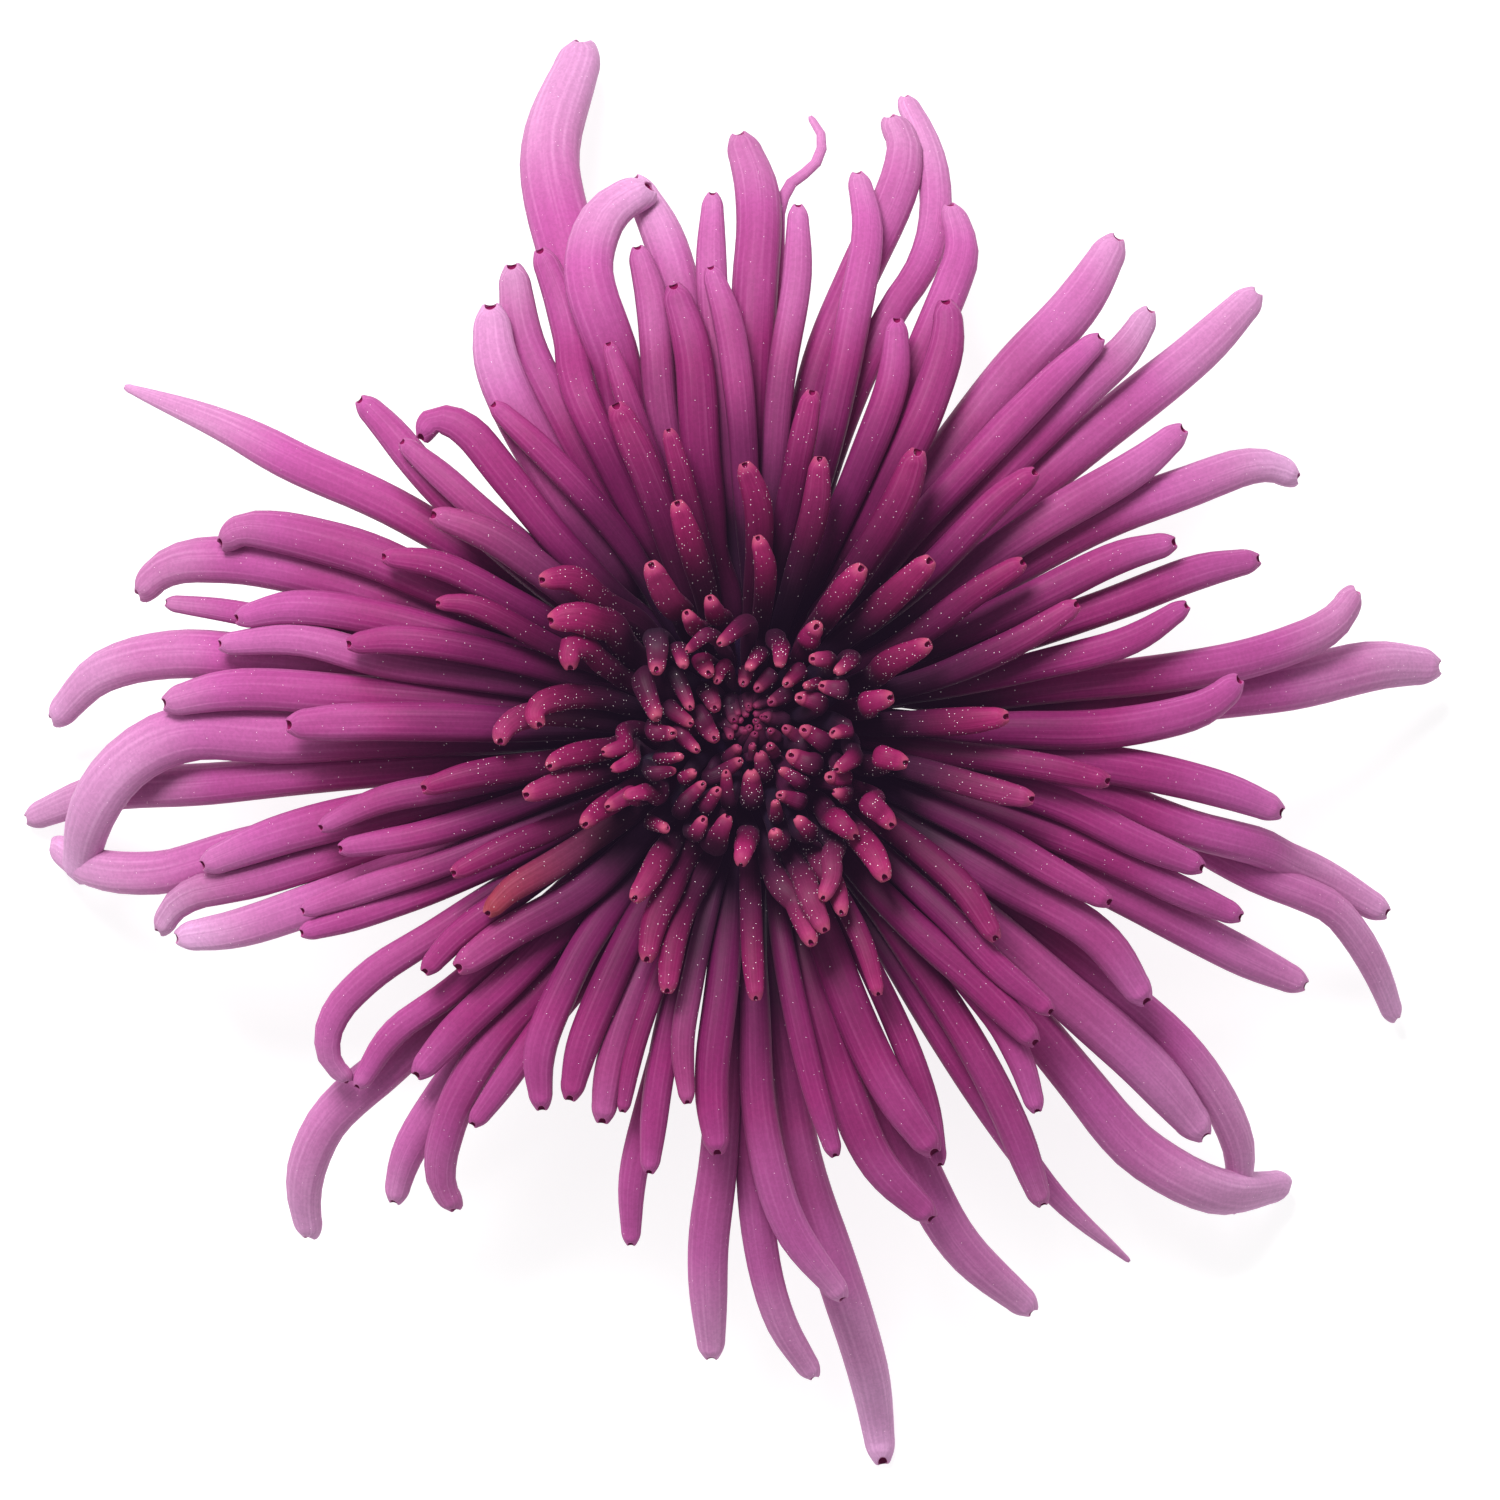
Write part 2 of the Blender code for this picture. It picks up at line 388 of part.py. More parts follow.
def nestle(paths, radii, young_from):
    """Part the quills where they would run into each other, mostly up and down.

    A crossing pair moves apart a little each round, and each quill stays a smooth curve. The
    tips keep their place seen from above, and the roots stay on the head.
    """
    count, samples = radii.shape
    where = np.array(paths)
    share = np.linspace(0.0, 1.0, samples)
    up_weight = np.clip((share - 0.05) / 0.25, 0.0, 1.0)
    side_weight = np.clip((share - 0.03) / 0.2, 0.0, 1.0) * np.clip((0.8 - share) / 0.35, 0.08, 1.0)
    owner = np.repeat(np.arange(count), samples)
    size = radii.reshape(-1)
    for turn in range(90):
        points = where.reshape(-1, 3)
        if turn % 15 == 0:
            gaps = np.linalg.norm(points[:, None, :] - points[None, :, :], axis=2).astype(np.float32)
            first, second = np.nonzero(np.triu(gaps < 5.5, 1))
            apart = owner[first] != owner[second]
            first = first[apart]
            second = second[apart]
        air = np.where((owner[first] < young_from) != (owner[second] < young_from), NODE_GAP, LIE_GAP)
        need = size[first] + size[second] + air
        across = points[second] - points[first]
        flat = np.hypot(across[:, 0], across[:, 1])
        height = across[:, 2]
        short = np.sqrt(np.maximum(need**2 - flat**2, 0.0)) - np.abs(height)
        touching = (flat < need) & (short > 0.0)
        rise = np.where(height >= 0.0, 1.0, -1.0) * np.minimum(short, 1.2) * touching
        overlap = np.maximum(need - np.linalg.norm(across, axis=1), 0.0)
        aside = across[:, :2] / np.maximum(flat, 0.05)[:, None] * overlap[:, None]
        shift = np.zeros_like(points)
        hits = np.ones(len(points))
        for side, index in ((-1.0, first), (1.0, second)):
            np.add.at(shift[:, 2], index, side * 0.5 * rise)
            np.add.at(shift[:, 0], index, side * 0.5 * aside[:, 0])
            np.add.at(shift[:, 1], index, side * 0.5 * aside[:, 1])
            np.add.at(hits, index, touching.astype(float))
        shift = (shift / np.sqrt(hits)[:, None]).reshape(count, samples, 3)
        for _ in range(4):
            padded = np.concatenate((shift[:, :1], shift, shift[:, -1:]), axis=1)
            shift = 0.25 * padded[:, :-2] + 0.5 * padded[:, 1:-1] + 0.25 * padded[:, 2:]
        where[:, :, 2] += 0.55 * shift[:, :, 2] * up_weight
        where[:, :, :2] += 0.55 * shift[:, :, :2] * side_weight[None, :, None]
        distance = np.hypot(where[:, :, 0] - HEART[0], where[:, :, 1] - HEART[1])
        where[:, :, 2] = np.maximum(where[:, :, 2], lowest(distance) + radii)
    return where


def cleared(name):
    """An empty collection of that name, linked to the scene."""
    collection = bpy.data.collections.new(name)
    bpy.context.scene.collection.children.link(collection)
    return collection


def material(name, colour, roughness):
    """A plain Principled finish."""
    finish = bpy.data.materials.new(name)
    finish.use_nodes = True
    shader = finish.node_tree.nodes["Principled BSDF"]
    shader.inputs["Base Color"].default_value = (*colour, 1.0)
    shader.inputs["Roughness"].default_value = roughness
    shader.inputs["Metallic"].default_value = 0.0
    return finish


def mesh_of(curve_object, collection):
    """The curve object's evaluated mesh, closed at its caps, in place of the curve."""
    graph = bpy.context.evaluated_depsgraph_get()
    mesh = bpy.data.meshes.new_from_object(curve_object.evaluated_get(graph))
    shape = bmesh.new()
    shape.from_mesh(mesh)
    bmesh.ops.remove_doubles(shape, verts=shape.verts, dist=0.00002)
    bmesh.ops.recalc_face_normals(shape, faces=shape.faces)
    shape.to_mesh(mesh)
    shape.free()
    solid = bpy.data.objects.new(curve_object.name + "_solid", mesh)
    solid.matrix_world = curve_object.matrix_world
    collection.objects.link(solid)
    bpy.data.objects.remove(curve_object)
    return solid


def tube(name, points, radii, resolution, collection):
    """A tapering tube along the points, as a mesh."""
    curve = bpy.data.curves.new(name, "CURVE")
    curve.dimensions = "3D"
    curve.bevel_depth = 1.0
    curve.bevel_resolution = resolution
    curve.use_fill_caps = True
    line = curve.splines.new("POLY")
    line.points.add(len(points) - 1)
    for knot, point, radius in zip(line.points, points, radii):
        knot.co = (*(point * MM), 1.0)
        knot.radius = radius * MM
    holder = bpy.data.objects.new(name, curve)
    collection.objects.link(holder)
    bpy.context.view_layer.update()
    return mesh_of(holder, collection)


def turned(name, profile, steps, collection):
    """A solid turned round the flower's axis from a profile of (radius, height)."""
    shape = bmesh.new()
    corners = [shape.verts.new((radius * MM, 0.0, height * MM)) for radius, height in profile]
    edges = [shape.edges.new(pair) for pair in zip(corners[:-1], corners[1:])]
    bmesh.ops.spin(
        shape, geom=corners + edges, angle=2 * math.pi, steps=steps, axis=(0, 0, 1), cent=(0, 0, 0)
    )
    bmesh.ops.remove_doubles(shape, verts=shape.verts, dist=0.00002)
    bmesh.ops.recalc_face_normals(shape, faces=shape.faces)
    bmesh.ops.translate(shape, verts=shape.verts, vec=(HEART[0] * MM, HEART[1] * MM, 0.0))
    mesh = bpy.data.meshes.new(name)
    shape.to_mesh(mesh)
    shape.free()
    solid = bpy.data.objects.new(name, mesh)
    collection.objects.link(solid)
    return solid


def fuse(core, repeats, solver="MANIFOLD"):
    """Join the repeats to their core in one Boolean union, and clear the repeats away."""
    union = core.modifiers.new("join", "BOOLEAN")
    union.operation = "UNION"
    union.operand_type = "COLLECTION"
    union.collection = repeats
    union.solver = solver
    bpy.context.view_layer.objects.active = core
    bpy.context.view_layer.update()
    graph = bpy.context.evaluated_depsgraph_get()
    joined = bpy.data.meshes.new_from_object(core.evaluated_get(graph))
    core.modifiers.clear()
    core.data = joined
    for item in list(repeats.objects):
        bpy.data.objects.remove(item)
    bpy.data.collections.remove(repeats)
    return core


def keep_outside(solid):
    """Drop sealed hollows and loose scraps, and leave the one outer body, in triangles."""
    shape = bmesh.new()
    shape.from_mesh(solid.data)
    bmesh.ops.triangulate(shape, faces=shape.faces)
    shape.verts.ensure_lookup_table()
    unseen = set(shape.verts)
    bodies = []
    while unseen:
        start = unseen.pop()
        body = {start}
        edge_of_body = [start]
        while edge_of_body:
            for edge in edge_of_body.pop().link_edges:
                for vert in edge.verts:
                    if vert not in body:
                        body.add(vert)
                        edge_of_body.append(vert)
        unseen -= body
        bodies.append(body)
    bodies.sort(key=len, reverse=True)
    for scrap in bodies[1:]:
        bmesh.ops.delete(shape, geom=list(scrap), context="VERTS")
    shape.to_mesh(solid.data)
    shape.free()


def quill_stops(bend_count, reach):
    """Where along its length a quill gets a ring of corners."""
    if reach < 22.0:
        return (0.0, 0.42, 0.86, 1.0)
    if bend_count < 3:
        return (0.0, 0.34, 0.64, 0.92, 1.0)
    return (0.0, 0.28, 0.5, 0.7, 0.86, 0.96, 1.0)


def along(path, stops):
    """Points of the path at the given shares of its length."""
    share = np.linspace(0.0, 1.0, len(path))
    return np.stack([np.interp(stops, share, path[:, axis]) for axis in range(3)], axis=1)


def florets():
    """Middle lines of all the florets, nestled together, the rays first."""
    reach = [float(np.linalg.norm(np.array(ray.tip) - HEART)) for ray in RAYS]
    order = np.argsort(np.argsort(reach))
    paths = [ray_path(ray, order[index] / len(RAYS)) for index, ray in enumerate(RAYS)]
    share = np.linspace(0.0, 1.0, PATH_SAMPLES)
    radii = [quill_radius(ray.form, ray.width, share) for ray in RAYS]
    paths += [young_path(young) for young in CENTRE]
    radii += [quill_radius("young", young.width, share) for young in CENTRE]
    return nestle(paths, np.array(radii), len(RAYS)), reach


def ray_florets(paths, reach, collection):
    """The receptacle with every ray floret grown from it."""
    profile = (
        (0.0, HEAD_BASE), (5.5, HEAD_BASE + 0.1), (8.0, HEAD_BASE + 1.2),
        (HEAD_RADIUS, HEAD_BASE + 3.4), (HEAD_RADIUS - 0.4, HEAD_TOP - 1.2),
        (HEAD_RADIUS - 2.2, HEAD_TOP), (0.0, HEAD_TOP),
    )
    core = turned("ray_florets", profile, 20, collection)
    repeats = cleared("quills")
    for index, ray in enumerate(RAYS):
        stops = np.array(quill_stops(len(ray.bends), reach[index]))
        radii = quill_radius(ray.form, ray.width, stops)
        tube(f"quill_{index}", along(paths[index], stops), radii, 1, repeats)
    fuse(core, repeats)
    keep_outside(core)
    return core


def centre_florets(paths, collection):
    """The young florets on their own small dome."""
    base = HEAD_TOP + CLEARANCE
    profile = (
        (0.0, base), (YOUNG_BASE_RADIUS, base), (YOUNG_BASE_RADIUS - 0.4, base + 1.0),
        (YOUNG_BASE_RADIUS - 2.2, YOUNG_BASE_TOP - 0.4), (0.0, YOUNG_BASE_TOP),
    )
    core = turned("centre_florets", profile, 14, collection)
    repeats = cleared("young_quills")
    stops = np.array((0.0, 0.42, 0.72, 1.0))
    for index, young in enumerate(CENTRE):
        radii = quill_radius("young", young.width, stops)
        tube(f"young_{index}", along(paths[index], stops), radii, 1, repeats)
    fuse(core, repeats)
    keep_outside(core)
    return core


def bract(name, row, bearing, collection):
    """One bract of the cup: a thin pointed scale that follows the cup's side."""
    low_radius = STEM_RADIUS + 0.6 + 1.7 * row
    low = STEM_TOP + 0.9 + 1.5 * row
    length = BRACT_LENGTHS[row]
    stations = (0.0, 0.35, 0.7, 1.0)
    shape = bmesh.new()
    rings = []
    for share in stations:
        run = share * length
        radius = min(low_radius + run * (0.86 - 0.30 * share), CUP_RADIUS + 0.5 + 0.35 * row)
        height = min(low + run * (0.42 + 0.28 * share), CUP_RIM - 0.4 * (2 - row))
        half = 0.5 * BRACT_WIDTH * math.cos(share * 1.25) * (0.75 + 0.5 * share)
        turn = half / radius
        ring = []
        for side, lift in ((-1, 0), (0, 1), (1, 0)):
            angle = bearing + side * turn
            outer = radius + BRACT_THICKNESS * lift
            ring.append((outer * math.cos(angle), outer * math.sin(angle), height))
        inner = radius - BRACT_THICKNESS
        ring.append((inner * math.cos(bearing), inner * math.sin(bearing), height + 0.3))
        rings.append([shape.verts.new([value * MM for value in corner]) for corner in ring])
    for near, far in zip(rings[:-1], rings[1:]):
        for index in range(4):
            after = (index + 1) % 4
            shape.faces.new((near[index], near[after], far[after], far[index]))
    shape.faces.new(rings[0][::-1])
    shape.faces.new(rings[-1])
    bmesh.ops.recalc_face_normals(shape, faces=shape.faces)
    bmesh.ops.translate(shape, verts=shape.verts, vec=(HEART[0] * MM, HEART[1] * MM, 0.0))
    mesh = bpy.data.meshes.new(name)
    shape.to_mesh(mesh)
    shape.free()
    scale = bpy.data.objects.new(name, mesh)
    collection.objects.link(scale)


def involucre(collection):
    """The green cup of overlapping bracts under the head."""
    under = HEAD_BASE - CLEARANCE
    profile = (
        (0.0, STEM_TOP + CLEARANCE), (STEM_RADIUS + 0.7, STEM_TOP + CLEARANCE),
        (5.6, 12.4), (8.0, 14.6), (8.9, 16.4), (8.3, HEAD_BASE + 0.5), (5.7, under - 0.1), (0.0, under),
    )
    cup = turned("involucre", profile, 20, collection)
    repeats = cleared("bracts")
    for row in range(BRACT_ROWS):
        for index in range(BRACTS_A_ROW):
            bearing = 2 * math.pi * (index + 0.5 * (row % 2) + 0.2 * row) / BRACTS_A_ROW
            bract(f"bract_{row}_{index}", row, bearing, repeats)
    fuse(cup, repeats)
    keep_outside(cup)
    return cup


def stem(collection):
    """The cut flower stalk, standing on its flat cut end."""
    profile = (
        (0.0, 0.0), (STEM_RADIUS - 0.1, 0.0), (STEM_RADIUS, 0.5), (STEM_RADIUS - 0.1, 5.0),
        (STEM_RADIUS + 0.3, STEM_TOP), (0.0, STEM_TOP),
    )
    return turned("stem", profile, 20, collection)


def main():
    """Build the bloom."""
    for item in list(bpy.data.objects):
        bpy.data.objects.remove(item)
    bloom = cleared("spider_chrysanthemum")
    paths, reach = florets()
    pieces = (
        (ray_florets(paths[: len(RAYS)], reach, bloom), "ray petal", (0.36, 0.08, 0.24), 0.55),
        (centre_florets(paths[len(RAYS):], bloom), "young petal", (0.28, 0.02, 0.08), 0.5),
        (involucre(bloom), "bract green", (0.10, 0.17, 0.05), 0.6),
        (stem(bloom), "stem green", (0.13, 0.22, 0.07), 0.6),
    )
    for piece, name, colour, roughness in pieces:
        piece.data.materials.clear()
        piece.data.materials.append(material(name, colour, roughness))
        piece.data.shade_smooth()
        piece.data.set_sharp_from_angle(angle=math.radians(60))


main()
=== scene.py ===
"""Looks of a cut spider chrysanthemum: quilled florets, young heart, bract cup and stem.

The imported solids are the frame. Every floret here is a fine hollow-mouthed quill that follows the
same middle line as its solid. Lengths are in millimetres until a mesh is made.
"""
import logging
import math
from dataclasses import dataclass, field
from enum import Enum

import bmesh
import bpy
import numpy as np
from mathutils import Matrix, Vector


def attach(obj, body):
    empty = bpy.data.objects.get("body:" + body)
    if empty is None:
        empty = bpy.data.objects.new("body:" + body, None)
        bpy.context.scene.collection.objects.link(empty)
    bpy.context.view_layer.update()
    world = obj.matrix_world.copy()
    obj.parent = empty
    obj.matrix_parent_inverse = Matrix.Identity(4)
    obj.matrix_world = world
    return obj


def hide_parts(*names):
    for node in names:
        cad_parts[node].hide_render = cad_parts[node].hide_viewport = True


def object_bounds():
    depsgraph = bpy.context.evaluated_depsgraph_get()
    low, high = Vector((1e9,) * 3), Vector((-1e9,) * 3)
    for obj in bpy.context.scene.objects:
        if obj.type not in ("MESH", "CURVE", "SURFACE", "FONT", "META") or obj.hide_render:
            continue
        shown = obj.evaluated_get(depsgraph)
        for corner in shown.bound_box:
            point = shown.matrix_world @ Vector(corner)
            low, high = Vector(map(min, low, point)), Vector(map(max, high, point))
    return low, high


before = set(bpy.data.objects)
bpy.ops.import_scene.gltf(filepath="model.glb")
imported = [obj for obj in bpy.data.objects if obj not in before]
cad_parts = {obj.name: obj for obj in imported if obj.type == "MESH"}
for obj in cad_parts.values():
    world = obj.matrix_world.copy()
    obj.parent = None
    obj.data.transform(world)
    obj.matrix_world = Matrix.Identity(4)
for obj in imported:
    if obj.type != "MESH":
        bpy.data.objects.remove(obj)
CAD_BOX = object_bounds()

MM = 0.001
LOG = logging.getLogger("bloom")
WHITE = "#ffffff"

HEART = np.array((1.2, 2.2))          # axis of the flower head
LONGEST_REACH = 60.0                  # from the heart to the furthest tips
INNER_REACH = 16.0                    # inside this the quills face straight up
CROWN_HEIGHT = 34.0                   # tips of the inner ring above the surface
DROOP = 32.5                          # how far the furthest tips hang below the inner ring

HEAD_BASE = 16.4                      # underside of the receptacle
HEAD_TOP = 23.4
HEAD_RADIUS = 8.8
ROOT_INNER = 5.9                      # ring of the head that carries the ray florets
ROOT_OUTER = 8.3
YOUNG_BASE_RADIUS = 4.7               # dome of the head that carries the centre florets
YOUNG_BASE_TOP = 26.2
YOUNG_FULLNESS = 1.2                  # the young florets swell this much beyond their lit width
DEEP_GLOW = "#170f1b"                 # painted glow: a faint light that petals and receptacle give off, lifting the shade in the gaps
CLEARANCE = 0.3                       # between pieces that touch in life

STEM_RADIUS = 3.3
STEM_TOP = 9.6
CUP_RADIUS = 9.4
CUP_RIM = 17.2

ROOT_RADIUS = 0.55                    # a quill is this thin where it leaves the head
UNDER_HEIGHT = 17.9                   # quills lie at least this high over the bracts
UNDER_RADIUS = 12.5                   # and may fall away outside this
UNDER_FALL = 1.6                      # by this much for each millimetre outwards
LIE_GAP = 0.12                        # air between quills that lie on each other
NODE_GAP = 0.8                        # air between centre florets and ray florets
PATH_SAMPLES = 18
NESTLE_ROUNDS = 90
NESTLE_SEARCH = 15                    # rounds between two searches for neighbours
NESTLE_NEAR = 5.5                     # samples closer than this may come to touch
NESTLE_STEP = 1.2                     # furthest that one touch lifts a quill in a round
NESTLE_EASE = 0.55                    # share of each shift that is taken
PROFILE_PLACES = (0.0, 0.15, 0.4, 0.7, 0.85, 0.95, 1.0)   # where a form's widths are given


class Form(Enum):
    """How a quill's width runs from root to tip, as shares of its greatest half width."""

    QUILL = (0.44, 0.60, 0.86, 1.0, 0.90, 0.66, 0.34)
    BLUNT = (0.44, 0.60, 0.86, 0.98, 0.98, 0.84, 0.50)
    SPIKE = (0.44, 0.56, 0.90, 0.92, 0.62, 0.34, 0.16)
    WISP = (0.60, 0.70, 0.90, 0.90, 0.80, 0.70, 0.50)
    YOUNG = (0.50, 0.64, 0.94, 1.0, 0.82, 0.64, 0.38)


@dataclass(frozen=True)
class Ray:
    """A ray floret: where its tip is, its greatest width, and the bends from tip to heart."""

    tip: tuple
    width: float
    bends: tuple = ()
    form: Form = Form.QUILL


@dataclass(frozen=True)
class Young:
    """A centre floret: its tip, and the shoulder that it curls in from."""

    tip: tuple
    shoulder: tuple
    width: float


